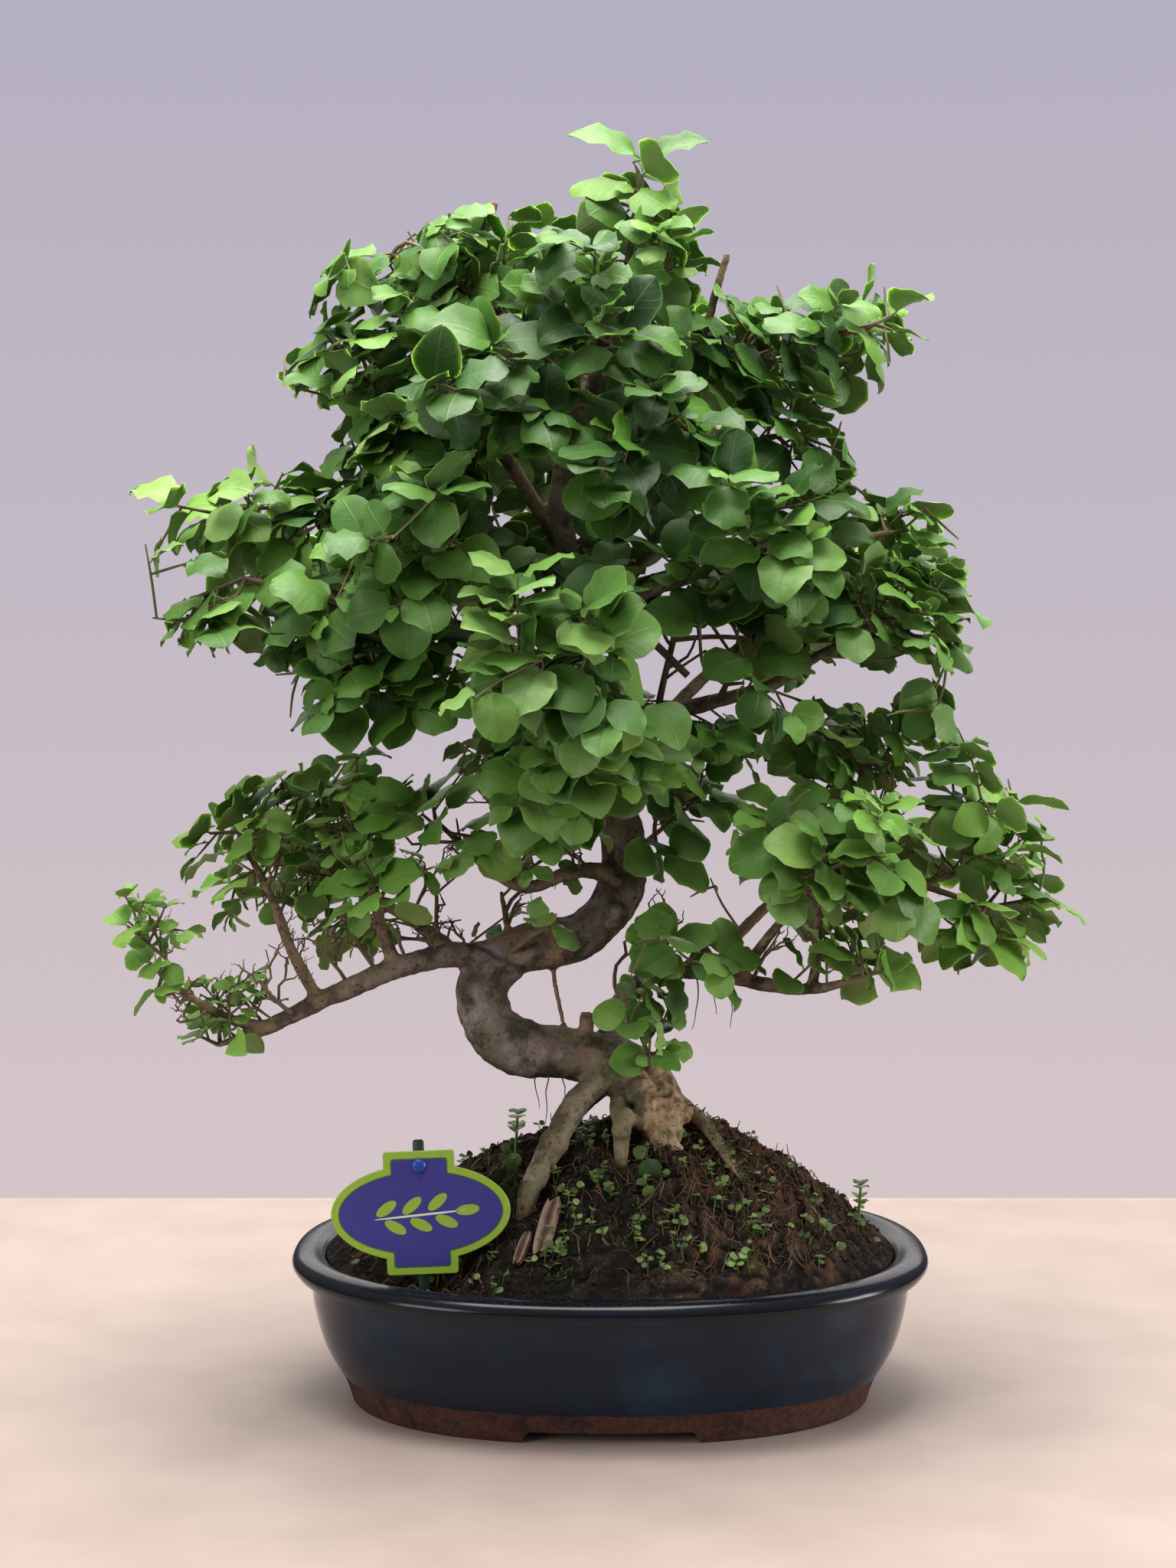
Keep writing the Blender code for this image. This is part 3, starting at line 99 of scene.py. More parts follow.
# The limbs, from the wood that each grows on out to where its last spray begins
LIMBS = {
    "left_low": ((-55, -6, 214, 9), (-73, -12, 218, 6.5), (-102, -20, 213, 5.6), (-140, -25, 197, 4.6),
        (-166, -28, 184, 3.4), (-182, -31, 179, 2.2)),
    "left_tip": ((-164, -27, 185, 3.2), (-180, -32, 189, 2.6), (-197, -41, 200, 2.2),
        (-208, -47, 210, 1.7)),
    "left_riser": ((-103, -19, 212, 4), (-110, -21, 232, 3), (-115, -22, 252, 2.4), (-121, -24, 272, 1.8)),
    "left_outer_riser": ((-140, -24, 197, 3.6), (-152, -28, 221, 2.8), (-162, -24, 246, 2.3),
        (-173, -22, 268, 1.7)),
    "left_back": ((-60, -4, 200, 6), (-76, 16, 214, 4.4), (-102, 38, 230, 3.4), (-134, 50, 244, 2.6),
        (-158, 50, 252, 1.8)),
    "right_low": ((0, 0, 166, 9), (4, 3, 190, 5), (18, 0, 205, 4.6), (37, -5, 209, 4.2), (56, -10, 207, 4),
        (87, -15, 202, 3.4), (104, -20, 203, 2.6), (116, -26, 208, 1.8)),
    "right_riser": ((97, -17, 201, 3), (100, -10, 216, 2.8), (103, 0, 240, 2.5), (111, 4, 270, 2.1),
        (120, 6, 296, 1.6)),
    "right_arm": ((101, -4, 228, 2.6), (124, 6, 238, 2.4), (152, 12, 249, 2.1), (178, 14, 256, 1.6)),
    "right_front": ((62, -11, 206, 3.2), (74, -24, 226, 2.6), (86, -38, 244, 2.1), (94, -50, 256, 1.6)),
    "right_back": ((50, -8, 208, 3.6), (64, 18, 224, 3), (86, 42, 240, 2.5), (112, 58, 252, 1.8)),
    "inner_left": ((6, 2, 250, 6), (-8, -20, 260, 4.2), (-24, -28, 258, 3.6), (-40, -30, 253, 3.2),
        (-56, -30, 260, 2.6), (-74, -28, 276, 2)),
    "inner_riser": ((-42, -29, 253, 3), (-39, -34, 270, 2.4), (-30, -38, 284, 1.8)),
    "upper_right": ((-2, 1, 318, 6), (12, -5, 328, 4.6), (30, -10, 335, 4.2), (52, -12, 341, 3.8),
        (76, -15, 348, 3.2), (98, -18, 362, 2.6), (120, -20, 374, 1.8)),
    "top_right": ((-14, 0, 380, 5), (19, -10, 394, 3.8), (56, -15, 405, 3.2), (95, -20, 413, 2.5),
        (126, -18, 420, 1.8)),
    "upper_right_back": ((26, -8, 333, 3.4), (46, 22, 350, 3), (70, 52, 368, 2.5), (94, 68, 382, 1.8)),
    "upper_left": ((-11, 0, 342, 6), (-36, -16, 360, 4.8), (-72, -30, 372, 4.2), (-107, -38, 383, 3.4),
        (-143, -44, 393, 2.6), (-166, -48, 399, 1.8)),
    "top_left": ((-20, 0, 402, 5), (-54, -10, 420, 3.8), (-90, -15, 431, 3.2), (-127, -18, 436, 2.5),
        (-156, -20, 434, 1.8)),
    "upper_left_back": ((-34, -14, 358, 3.6), (-56, 16, 368, 3.2), (-88, 42, 380, 2.6),
        (-118, 54, 390, 1.8)),
    "centre_front": ((-10, 0, 332, 5), (-21, -38, 350, 3.8), (-27, -72, 361, 3), (-30, -94, 362, 2)),
    "back_low": ((1, 4, 296, 5), (-12, 44, 308, 3.6), (-26, 78, 314, 2.6), (-34, 96, 318, 1.8)),
    "back_middle": ((-22, 2, 418, 4.4), (-16, 44, 434, 3.2), (-10, 84, 448, 2)),
    "crown_left": ((-23, 0, 416, 5), (-37, -2, 436, 3.8), (-56, -5, 464, 3.2), (-86, -10, 488, 2.6),
        (-108, -12, 500, 1.8)),
    "crown_top_left": ((-13, 0, 478, 3.6), (-39, -8, 512, 2.8), (-66, -10, 534, 2.3), (-88, -6, 545, 1.7)),
    "crown_right": ((-18, 0, 464, 3.8), (19, -5, 485, 3), (56, -5, 500, 2.6), (92, -10, 511, 2.1),
        (114, -10, 517, 1.6)),
    "crown_low_right": ((-24, 0, 446, 3.6), (12, -6, 456, 2.8), (49, -10, 461, 2.3), (74, -16, 466, 1.7)),
    "crown_front_low": ((-20, -1, 462, 3.6), (-21, -36, 474, 2.7), (-18, -62, 472, 1.9)),
    "crown_front": ((-4, -1, 506, 3), (-5, -32, 514, 2.3), (-6, -58, 514, 1.7)),
    "crown_back": ((-12, 1, 482, 3.4), (-12, 42, 494, 2.6), (-14, 70, 504, 1.8)),
    "stub_left": ((-64, -10, 532, 2.6), (-63, -7, 554, 2.4), (-55, -5, 578, 2.2)),
    "stub_right": ((42, -5, 495, 2.4), (47, -13, 524, 2.2), (55, -18, 553, 2)),
    "stub_arm": ((-13, -6, 166, 5), (-12, -9, 178, 4), (-11, -11, 189, 3.6)),
    "twig_window": ((-29, 2, 222, 1.6), (-27, -1, 203, 1.4), (-20, -6, 170, 1.3)),
    "twig_hump": ((-49, -2, 222, 2.2), (-51, -4, 236, 1.7), (-53, -5, 248, 1.3)),
}

# The sprays: the wood that bears it, its leaves' length, and where the tips of its shoots reach
SPRAYS = {
    "apex": ("trunk", 27, ((16, 0, 612), (-16, -3, 584), (46, -4, 576), (4, -26, 588), (14, 26, 582))),
    "crown_high_left": ("crown_top_left", 27, ((-81, -15, 568), (-50, 4, 573), (-58, -30, 554),
        (-130, -10, 549), (-141, -14, 528), (-106, 12, 552))),
    "crown_left": ("crown_left", 28, ((-154, -20, 501), (-127, -10, 484), (-144, 10, 514),
        (-125, -18, 460), (-112, -42, 474), (-94, -56, 444))),
    "crown_high_front": ("crown_front", 27, ((-24, -28, 564), (-36, -52, 545), (-6, -56, 538))),
    "crown_high_right": ("trunk", 27, ((40, -8, 566), (32, -42, 546), (50, 12, 548))),
    "crown_mid_right": ("crown_right", 27, ((74, -22, 532), (56, -42, 514), (88, 2, 534))),
    "crown_far_right": ("crown_right", 27, ((153, 0, 535), (129, -22, 503), (150, -10, 514),
        (104, 8, 540))),
    "crown_low_right": ("crown_low_right", 27, ((110, -10, 470), (94, -42, 452), (102, -28, 486))),
    "crown_front_left": ("crown_left", 28, ((-84, -70, 522), (-56, -88, 518), (-74, -56, 500))),
    "crown_front": ("crown_front", 29, ((19, -94, 514), (-12, -97, 520), (4, -84, 494))),
    "crown_low_left": ("crown_front_low", 29, ((-52, -96, 479), (-80, -70, 476), (-30, -92, 462))),
    "crown_low_front": ("crown_front_low", 29, ((22, -100, 462), (52, -80, 477), (12, -85, 426),
        (-14, -80, 441))),
    "crown_back_left": ("crown_back", 27, ((-75, 60, 550), (-36, 62, 562), (-70, 92, 512), (-98, 64, 504),
        (-38, 108, 500))),
    "crown_back_right": ("crown_back", 27, ((24, 62, 552), (64, 80, 524), (100, 58, 502), (38, 108, 506))),
    "crown_low_back_left": ("back_middle", 28, ((-40, 138, 474), (-92, 84, 472), (-62, 116, 450))),
    "crown_low_back_right": ("back_middle", 28, ((22, 142, 473), (74, 96, 458), (42, 124, 440))),
    "upper_left_high": ("top_left", 27, ((-221, -50, 417), (-200, -36, 432), (-188, -20, 451),
        (-164, -42, 440), (-156, 4, 458))),
    "upper_left_tip": ("upper_left", 27, ((-215, -60, 383), (-196, -74, 371), (-178, -56, 356))),
    "upper_left_front": ("upper_left", 28, ((-128, -98, 398), (-156, -82, 408), (-142, -98, 376))),
    "upper_left_under": ("upper_left", 27, ((-150, -58, 338), (-140, -82, 360), (-106, -82, 349),
        (-82, -60, 328))),
    "upper_left_mid": ("top_left", 28, ((-92, -106, 408), (-105, -80, 430), (-69, -100, 421))),
    "upper_left_back": ("upper_left_back", 27, ((-160, 52, 420), (-188, 22, 398), (-110, 100, 396),
        (-147, 74, 372), (-100, 84, 424))),
    "centre_left": ("centre_front", 30, ((-64, -126, 378), (-80, -110, 368), (-38, -140, 350),
        (-56, -122, 346))),
    "centre_right": ("centre_front", 30, ((7, -126, 382), (-16, -134, 374), (22, -112, 360))),
    "centre_low": ("inner_riser", 28, ((14, -82, 320), (-8, -106, 334), (-44, -82, 312), (2, -54, 278))),
    "upper_right_top": ("top_right", 27, ((160, 0, 424), (149, 12, 443), (122, -2, 446))),
    "upper_right_tip": ("upper_right", 27, ((180, -10, 388), (174, -22, 364), (144, -34, 368),
        (116, -60, 386))),
    "upper_right_front": ("top_right", 28, ((94, -90, 400), (70, -92, 415), (49, -78, 434),
        (94, -50, 440))),
    "upper_right_inner": ("upper_right", 28, ((84, -34, 352), (72, -64, 374), (34, -70, 394))),
    "upper_right_back": ("upper_right_back", 27, ((130, 82, 418), (164, 50, 396), (80, 112, 403),
        (100, 84, 370), (40, 96, 392))),
    "trunk_right": ("trunk", 26, ((39, -20, 321), (58, -40, 311), (28, -28, 282), (26, -36, 254))),
    "right_high": ("right_riser", 27, ((86, 0, 336), (95, -32, 326), (156, 10, 339), (124, 12, 344))),
    "right_upper": ("right_arm", 27, ((198, 20, 313), (170, -10, 310), (217, 20, 285), (196, -4, 278))),
    "right_tip": ("right_arm", 27, ((234, 30, 244), (205, 32, 258), (195, -10, 211), (170, -30, 219))),
    "right_low": ("right_low", 26, ((118, -52, 234), (146, -34, 216), (134, -2, 214))),
    "right_inner": ("right_low", 25, ((56, -46, 228), (33, -42, 240), (22, -16, 232))),
    "right_front": ("right_front", 28, ((98, -92, 286), (64, -82, 288), (142, -70, 284), (130, -60, 258))),
    "right_back": ("right_back", 27, ((112, 82, 292), (64, 72, 263), (178, 70, 257), (140, 92, 236),
        (150, 76, 284))),
    "left_tip": ("left_tip", 18, ((-231, -60, 253), (-224, -60, 230), (-214, -62, 204))),
    "left_low": ("left_low", 17, ((-170, -48, 188), (-204, -36, 186), (-190, -14, 196))),
    "left_high": ("left_outer_riser", 25, ((-187, -20, 308), (-163, -32, 300), (-211, -30, 278),
        (-190, -52, 268), (-176, 6, 292))),
    "left_mid_high": ("left_riser", 25, ((-148, -10, 314), (-125, -50, 299), (-118, -6, 306))),
    "left_front": ("left_riser", 22, ((-132, -70, 247), (-114, -72, 268), (-88, -58, 248),
        (-96, -52, 278))),
    "left_back": ("left_back", 26, ((-170, 62, 258), (-206, 30, 238), (-110, 84, 271), (-138, 62, 226),
        (-178, 50, 284))),
    "mid_left": ("inner_left", 26, ((-71, -52, 299), (-88, -30, 312), (-102, -40, 290), (-54, -54, 278))),
    "mid_back": ("back_low", 27, ((-62, 76, 290), (-34, 84, 268), (-40, 128, 332), (-2, 116, 322),
        (-66, 100, 346))),
    "trunk_foot": ("trunk", 18, ((18, -40, 172), (2, -32, 202), (34, -30, 178))),
    "trunk_bend": ("trunk", 18, ((-20, -42, 240), (-34, -34, 240))),
}

# How the plain solids grow: their wood, their leaves and their shoots
TRUNK_STEP, LIMB_STEP = 17, 27
PLAIN_SIDES = {"trunk": 7, "root": 5, "limb": 5}
THIN_LIMB = 4  # a limb that starts no thicker has a side less
WOOD_KNOTS = {"trunk": 0.22, "root": 0.2, "limb": 0.15}  # how uneven it is
BLADE_THICK = 0.7
BLADE_WIDTHS = (0.7, 0.82)  # shares of a leaf's length
BLADE_OUTLINE = ((0.36, 0.5), (0.76, 0.42), (1, 0))  # share of its length, of its width
BLADE_NECK = (0.08, 0.11)
BLADE_CURL, BLADE_DROOP = 0.16, 0.22
SHOOT_RADII = (1.2, 0.8)
STEM_RADIUS, HUB_RADIUS = 1.8, 1.4
SHORTEST_STEM, STEM_SHARE = 4, 0.45  # of the way from the limb to the spray's middle
SHORTEST_SHOOT, LEAF_SHARE = 9, 0.8  # how much of its last leaf reaches past a shoot's end
NODE_LENGTH, NODE_APART = 1.6, 5
LEAF_SPREAD, LEAST_NECK_RISE = 56, 0.15
LEAF_OUTWARD, LEAF_SCATTER = 0.9, 0.55  # beside how strongly leaves face up
STRAIGHT_UNDER, STIFF_UNDER = 44, 0.12
LEAF_TRIES, SHOOT_TRIES, SHOOT_LOOSENS = 60, 30, 0.013
SOIL_CLEAR = 3  # between the lowest leaves and the soil

# The label: where the middle of its plate stands, and how it leans
LABEL_AT = (-89, -72, 105)
LABEL_ROLL, LABEL_LEAN = 2.3, 4
LABEL_HALF_WIDTH, LABEL_HALF_HEIGHT = 42, 23
LABEL_TAB_HALF_WIDTH, LABEL_TAB_TOP, LABEL_TAB_ROUND = 16.75, 29, 1.5
LABEL_THICK = 1.2
PEG_HEIGHT, PEG_HEAD_RADIUS, PEG_RADIUS = 22, 3.5, 1.2
STAKE_WIDTH, STAKE_THICK, STAKE_TOP, STAKE_BOTTOM = 5.2, 1.8, 34, -50

CHIPS = {  # lower end, upper end, width and thickness of each bit of bark
    "bark_chip_large": ((-33, -80), (-27, -61), 9, 3.6),
    "bark_chip_small": ((-43.5, -81), (-39, -71), 5.5, 2.6),
}
SEEDLINGS = {  # where each one stands, its height, and the length of its leaves
    "seedling_left": ((-46, -14), 18, 9),
    "seedling_right": ((121, -12), 17, 8),
}

# How the crown is filled beyond the solids
PAIR_SPACING = 9  # between the pairs of leaves along a shoot
MOST_PAIRS = 3
TWIG_SPACING, TWIG_LENGTHS, TWIG_WITHIN = 10, (12, 26), 1.06
SPUR_SPACING, SPUR_LENGTHS, SPUR_THICKEST, SPUR_WITHIN = 10, (16, 40), 6, 1.2
SIDE_SPACING, SIDE_LENGTHS, LEAST_TWIG = 10, (10, 20), 18
JOINT_SPACING = 8  # along the limbs, of the places where twigs into the gaps may start
TWIG_LEAVES = (0.6, 1.0)  # how long their leaves are beside the spray's own
LEAFINESS = {  # the start of a spray's name: the share of its twigs with leaves, and their size
    "left_": (0.6, 0.72), "mid_left": (0.7, 0.9), "right_": (0.5, 0.92), "trunk_": (0.6, 0.9),
    "": (0.95, 1),
}
GAP_ROUNDS, GAP_TARGETS, GAP_EMPTY, GAP_TWIGS = 6, 900, 16, (6, 50)
GAP_PARTNERS, GAP_SPREAD = 110, 14  # how far apart two sprays are that share a gap, and its spread
VIEW_ROUNDS, VIEW_STEP, VIEW_TWIGS = 5, 7, (5, 44)
VIEW_COLUMNS, VIEW_ROWS = (-240, 240), (170, 620)  # the part of the picture that the tree fills
VIEW_LOW, VIEW_EMPTY, VIEW_EMPTY_LOW = 335, 9, 17  # the height over which the crown is closed
FINE_TRIES = 10

# The crown's outline from the front, as (x, height) where it crosses the plane of the trunk
CROWN_EDGE = (
    (2, 598), (28, 598), (34, 586), (48, 572), (57, 556), (60, 536), (96, 541), (155, 536), (152, 518),
    (133, 500), (112, 496), (114, 462), (126, 442), (152, 439), (168, 420), (181, 384), (177, 354),
    (146, 358), (104, 360), (90, 345), (60, 352), (34, 330), (80, 336), (124, 340), (158, 341), (197, 313),
    (213, 276), (228, 246), (221, 221), (202, 206), (170, 203), (140, 214), (106, 208), (84, 198),
    (60, 190), (38, 212), (36, 168), (24, 152), (8, 160), (4, 212), (-8, 236), (-50, 226), (-96, 224),
    (-140, 204), (-176, 174), (-222, 184), (-232, 206), (-241, 254), (-220, 268), (-198, 296), (-171, 309),
    (-140, 318), (-106, 312), (-134, 330), (-158, 322), (-152, 346), (-190, 368), (-208, 360), (-226, 380),
    (-172, 396), (-234, 412), (-188, 430), (-193, 446), (-136, 456), (-118, 474), (-126, 478), (-162, 497),
    (-147, 526), (-140, 552), (-92, 566), (-72, 576), (-24, 578), (-6, 574), (-8, 588),
)
CROWN_DEPTH = 146  # how far twigs and leaves may reach to the front and to the back
LEAF_REACH = 0.85  # the share of a leaf that has to stay inside
OPEN_PLACES = (  # x, height, half width and half height where the crown is open
    (40, 361, 34, 24), (-26, 192, 34, 18), (-84, 205, 32, 14), (-108, 246, 22, 14), (-64, 246, 18, 14),
    (60, 232, 24, 16), (3, 262, 18, 34), (-20, 218, 26, 14), (74, 262, 9, 9), (-88, 272, 8, 8),
)
HOLLOWS = ((-36, 440, 22, 28),)  # the same, for places where only the front is open
HOLLOW_FRONT = -10  # they reach back to this depth
TOP_BUD = (15, -1, 598)
TOP_LEAVES = ((-17, -6, 615), (45, -8, 609))  # the tips of the long pair that crowns the tree
TOP_LEAF_WIDTH, TOP_LEAF_YOUTH = 0.4, 0.3
LEAF_WIDER = 1.1
TWIG_RADIUS, TWIG_TIP_RADIUS, TWIG_STEP, TWIG_SIDES = 0.65, 0.4, 5, 6
TWIG_CLEAR = 0.35  # kept round a twig
BUD_LEAVES, BUD_WIDTH = (0.32, 0.6), 0.58  # beside the spray's own leaves, and beside their length
SHOOT_YOUTH, TWIG_YOUTH = 0.15, 0.35  # how green the bark is
FINE_NECK = (0.17, 0.24)
FINE_PROXY = (0.97, 0.92, 0.9)
STEM_SUNK = 3
CELL = 32  # of the grid in which near neighbours are looked up
FRESH_SPRAYS = {  # how young the leaves of a spray are at least
    "left_tip": 0.6, "left_low": 0.5, "trunk_foot": 0.15, "apex": 0.15, "crown_far_right": 0.2,
    "upper_left_high": 0.15, "right_tip": 0.4, "left_front": 0.5, "left_high": 0.45, "left_back": 0.65,
    "left_mid_high": 0.35, "right_upper": 0.35, "right_high": 0.3, "right_back": 0.55, "right_low": 0.3,
    "right_front": 0.2, "upper_left_back": 0.4, "upper_right_back": 0.3, "mid_left": 0.2,
    "crown_high_right": 0.2,
}
SHADED = {  # painted shade: how light the leaves are painted in the sprays that the rest overhangs and shadows
    "crown_front": 0.1, "crown_low_front": 0.15, "crown_low_left": 0.18, "crown_front_left": 0.25,
    "crown_high_front": 0.45, "crown_mid_right": 0.4, "upper_left_mid": 0.6, "mid_back": 0.5,
    "upper_left_front": 0.6, "upper_left_under": 0.6, "crown_low_right": 0.4, "upper_right_front": 0.7,
    "upper_right_inner": 0.55, "crown_low_back_right": 0.4, "crown_low_back_left": 0.5,
}

# The bare twigs: the fan of them in the crown's gap, and limbs with how far apart theirs are
BARE_LIMBS = ("stub_left", "stub_right", "stub_arm", "twig_window", "twig_hump", *ROOTS)
WINDOW_TWIGS = (
    ((22, -7, 333, 1.8), (26, -8, 352, 1.6), (30, -8, 369, 1.5), (33, -9, 384, 1.2), (38, -8, 396, 1)),
    ((30, -8, 370, 1.5), (48, -11, 371.5, 1.2), (66, -12, 371, 1.2), (100, -12, 370, 1.5),
     (118, -19, 373, 1.6)),
    ((-14, -3, 388, 2.4), (2, -10, 382, 2.2), (18, -14, 371, 2), (37, -14, 353, 1.8)),
    ((31, -8, 372, 1.2), (43, -8, 384, 1), (52, -8, 392, 0.9), (60, -8, 404, 0.8)),
    ((43, -9, 385, 0.9), (54, -12, 369, 0.8), (64, -12, 354, 0.7)),
    ((66, -10, 364, 0.8), (61, -10, 372, 0.8), (56, -10, 382, 0.7)),
    ((66, -10, 364, 0.8), (69, -10, 358, 0.6)),
    ((25, -8, 350, 0.8), (34, -10, 357, 0.7), (46, -10, 365, 0.6)),
    ((30, -8, 366, 1), (25, -9, 374, 0.8), (27, -9, 386, 0.7)),
    ((27, -8, 356, 0.9), (37, -9, 362, 0.7), (41, -9, 371, 0.6)),
    ((33, -9, 382, 0.9), (24, -10, 390, 0.7), (14, -12, 396, 0.6)),
    ((19, -9, 330, 2.1), (16, -10, 337, 2), (6, -10, 344, 1.9), (-3, -8, 352, 1.8), (-9, -4, 362, 2)),
)
TWIGGY_LIMBS = (
    ("left_low", 15), ("left_tip", 12), ("left_riser", 14), ("left_outer_riser", 15), ("left_back", 17),
    ("inner_left", 16), ("inner_riser", 12), ("right_low", 24), ("right_riser", 20), ("right_arm", 20),
    ("twig_hump", 8),
)
BARE_LENGTHS = (14, 34)

# A leaf's own mesh and form
LEAF_ROWS, LEAF_COLUMNS = 8, 4
SMALL_LEAF, SMALL_ROWS, SMALL_COLUMNS = 15, 6, 4
LEAF_FULL, LEAF_BASE, LEAF_TIP = 1.06, 0.47, 0.55  # how full it is, at its base and its tip too
LEAF_THICK = 0.34
STALK_SHARE, STALK_RADIUS = 0.1, 0.42
LEAF_FOLD, LEAF_ROUND = (0.02, 0.5), (0.1, 0.95)  # how its halves rise, and bend down at the edge
LEAF_WAVES, LEAF_WAVE_HEIGHT = (1.2, 2.6), (0.025, 0.08)  # along its edge, and beside its length
LEAF_TIP_DROP, LEAF_SWAY = (-0.1, 0.75), (-0.07, 0.07)  # how its tip bends down and to one side

# The wood's skin: voxel, sides of the raw tubes, and steps along them
WOOD_VOXEL = 1.27
WOOD_SIDES = {"trunk": 22, "root": 16, "limb": 12}
TRUNK_FINE_STEP, LIMB_FINE_STEP = 5, 6
KNOBS = (  # x, y, height and radius
    (-63, -16, 190, 8), (-50, -14, 172, 9), (2, -8, 236, 7.5), (10, -4, 262, 6.5), (21, -26, 145, 8.5),
    (28, -24, 147, 7), (29, -29, 137, 6), (24, -31, 134, 5.5), (14, -27, 140, 6), (15, -20, 152, 7.5),
    (7, -34, 143, 4.6), (5, -37, 137, 5.2), (34, -24, 141, 4), (-27, -42, 132, 7.5), (24, -10, 120, 10),
)
SURFACE_ROOT = (  # it leaves the right root and runs down over the soil
    (36, -5, 141, 4.2), (44, -10, 136, 3.8), (49, -22, 132, 3.4), (53, -32, 127.5, 3),
    (58, -41, 121.5, 2.5), (63, -49, 115, 1.8),
)
SCARS = (  # a dark groove round the trunk: a point on it, the way the wood runs, and its reach
    ((8, 5, 256), (0.15, 0, 1), 20), ((-57, -9, 218), (0.5, 0.2, 1), 18),
)
SCAR_HALF_WIDTH, SCAR_DEPTH = 2, 1.2
BARK_BUMPS, BURL_BUMPS = ((0.9, 11), (0.7, 4)), ((3.4, 7), (1.8, 3))  # each a height and a size
HAIR_ROOTS = (  # x, y, height, length and sideways lean
    (-70, -14, 214, 26, 0.1), (-64, -12, 208, 18, -0.1), (-38, -12, 164, 22, 0.15),
    (-30, -14, 163, 30, -0.05), (-24, -16, 160, 16, 0.2), (34, -6, 206, 20, 0.1), (42, -8, 206, 26, -0.1),
    (50, -9, 205, 17, 0.15), (58, -11, 204, 22, 0.0),
)
HAIR_RADIUS = 0.42

# The pot and the soil
POT_FINE_SIDES = 160
GLAZE_END, GLAZE_THICK = 15.5, 0.35
SOIL_SIDES, SOIL_FINE_RINGS = 300, 84
CLODS, CLODS_LOW = ((6, 10), (4, 4.6)), 4.4  # height and size of the lumps, and where the soil lies
GRAIN_HEIGHT, GRAIN_SIZE = 0.7, 2.1  # of the crumbs between them
HOLLOW_SHADE_START, HOLLOW_SHADE_SPAN = -0.37, 2.4  # how dark the painted shade in the hollows between clods is: an offset, and the depth that adds 1
CRUMBS, SHREDS, STALKS, MOSS_STRANDS, ROOT_MOSS = 2300, 1500, 60, 1300, 260
MOSS_AT, MOSS_REACH = (-60, -50), 55
LITTER_HALF_WIDTH, LITTER_HALF_DEPTH = 136, 102  # of the oval in which loose bits and weeds lie
WEED_PATCHES = (  # x, y, spread and how many plants
    (-12, -20, 5, 9), (-8, -33, 5, 9), (-16, -27, 4, 7), (-8, -55, 3, 4), (-4, -58, 3, 4),
    (-26, -48, 4, 5), (15, -42, 3, 4), (16, -54, 3, 3), (36, -19, 5, 7), (24, -37, 3, 4), (48, -44, 4, 3),
    (31, -75, 4, 7), (67, -66, 4, 7), (69, -72, 4, 6), (12, -79, 4, 4), (-22, -79, 4, 7), (-24, -83, 3, 5),
    (-10, -78, 4, 4), (-20, -69, 4, 4), (-49, -28, 4, 4), (23, -92, 5, 8), (60, -90, 5, 8),
    (109, -70, 5, 8), (86, -42, 6, 6), (-28, -82, 3, 4), (-7, -55, 4, 4), (33, -86, 6, 5), (95, -64, 8, 9),
    (124, -22, 6, 7), (50, -60, 8, 6), (-46, -84, 6, 6), (-70, -70, 12, 10), (-110, -30, 12, 12),
    (60, -50, 30, 24), (10, 60, 40, 34), (-60, 50, 26, 22),
)
WEED_SHARE = 0.7
LARGE_WEEDS = ((17, -47, 9, 12), (17, -56, 5, 7), (-48, -29, 12, 9))  # x, y, height, leaf length
CHIP_STEPS, CHIP_SIDES = 14, 20

# The label's print
LABEL_ARC, PRINT_THICK = 16, 0.07
SPRIG = (  # x, height, half length, half width and turn of each shape in the oval
    (0, -1, 22, 0.5, 4), (-16, 2.4, 5.6, 2.5, 35), (-12, -6.4, 5.6, 2.5, -30), (-4, 3.5, 5.6, 2.5, 40),
    (0, -5.6, 5.6, 2.5, -26), (8, 4.8, 5.6, 2.5, 40), (12, -4.4, 5.6, 2.5, -24), (22, 0.6, 5.6, 2.5, 6),
)
PRINT_LOOKS = (  # name, colour and roughness
    ("label_rim_lime", (144, 178, 58), 0.4), ("label_line_green", (60, 104, 52), 0.4),
    ("label_print_violet_blue", (60, 56, 136), 0.35), ("label_print_pale", (222, 226, 200), 0.4),
)

# The camera: where it stands and how it looks down, for a picture 1536 wide and 2048 high
PHOTO_HEIGHT = 2048
CAMERA_AT = (-10.8, -1500, 438.5)
CAMERA_DOWN = 5.29
CAMERA_FOCUS = 4057  # focal length in pixels of that picture
SENSOR = 36

# The table: its half width and half depth, and how square its corners are
TABLE_HALF, TABLE_CORNERS, TABLE_SIDES = (700, 420), 0.12, 96

# The room and its light, in metres and watts
WALL_SPAN = (-0.25, 0.2)  # the sine of the height between which the wall's colour changes
WALL_COLORS = ((0.1, (212, 197, 200)), (0.48, (195, 186, 197)), (0.9, (181, 176, 193)))
ROOM_LIGHT = ((0.0, (84, 80, 82)), (1.0, (200, 196, 200)))
LIGHTS = (
    ("ceiling", (-0.05, 0.02, 1.6), (0, 0, 0.2), (1.4, 1.0), 50, (1.0, 0.98, 0.94)),
    ("wall_light", (0.1, 1.5, 0.9), (0, 0, 0.3), (2.0, 1.0), 8, (1.0, 0.97, 0.97)),
    ("left_window", (-1.2, -1.1, 0.55), (0, 0, 0.22), (0.7, 0.6), 8, (1.0, 0.98, 0.96)),
    ("right_window", (1.4, -0.3, 0.4), (0, 0, 0.22), (0.6, 0.5), 12, (1.0, 0.98, 0.96)),
)

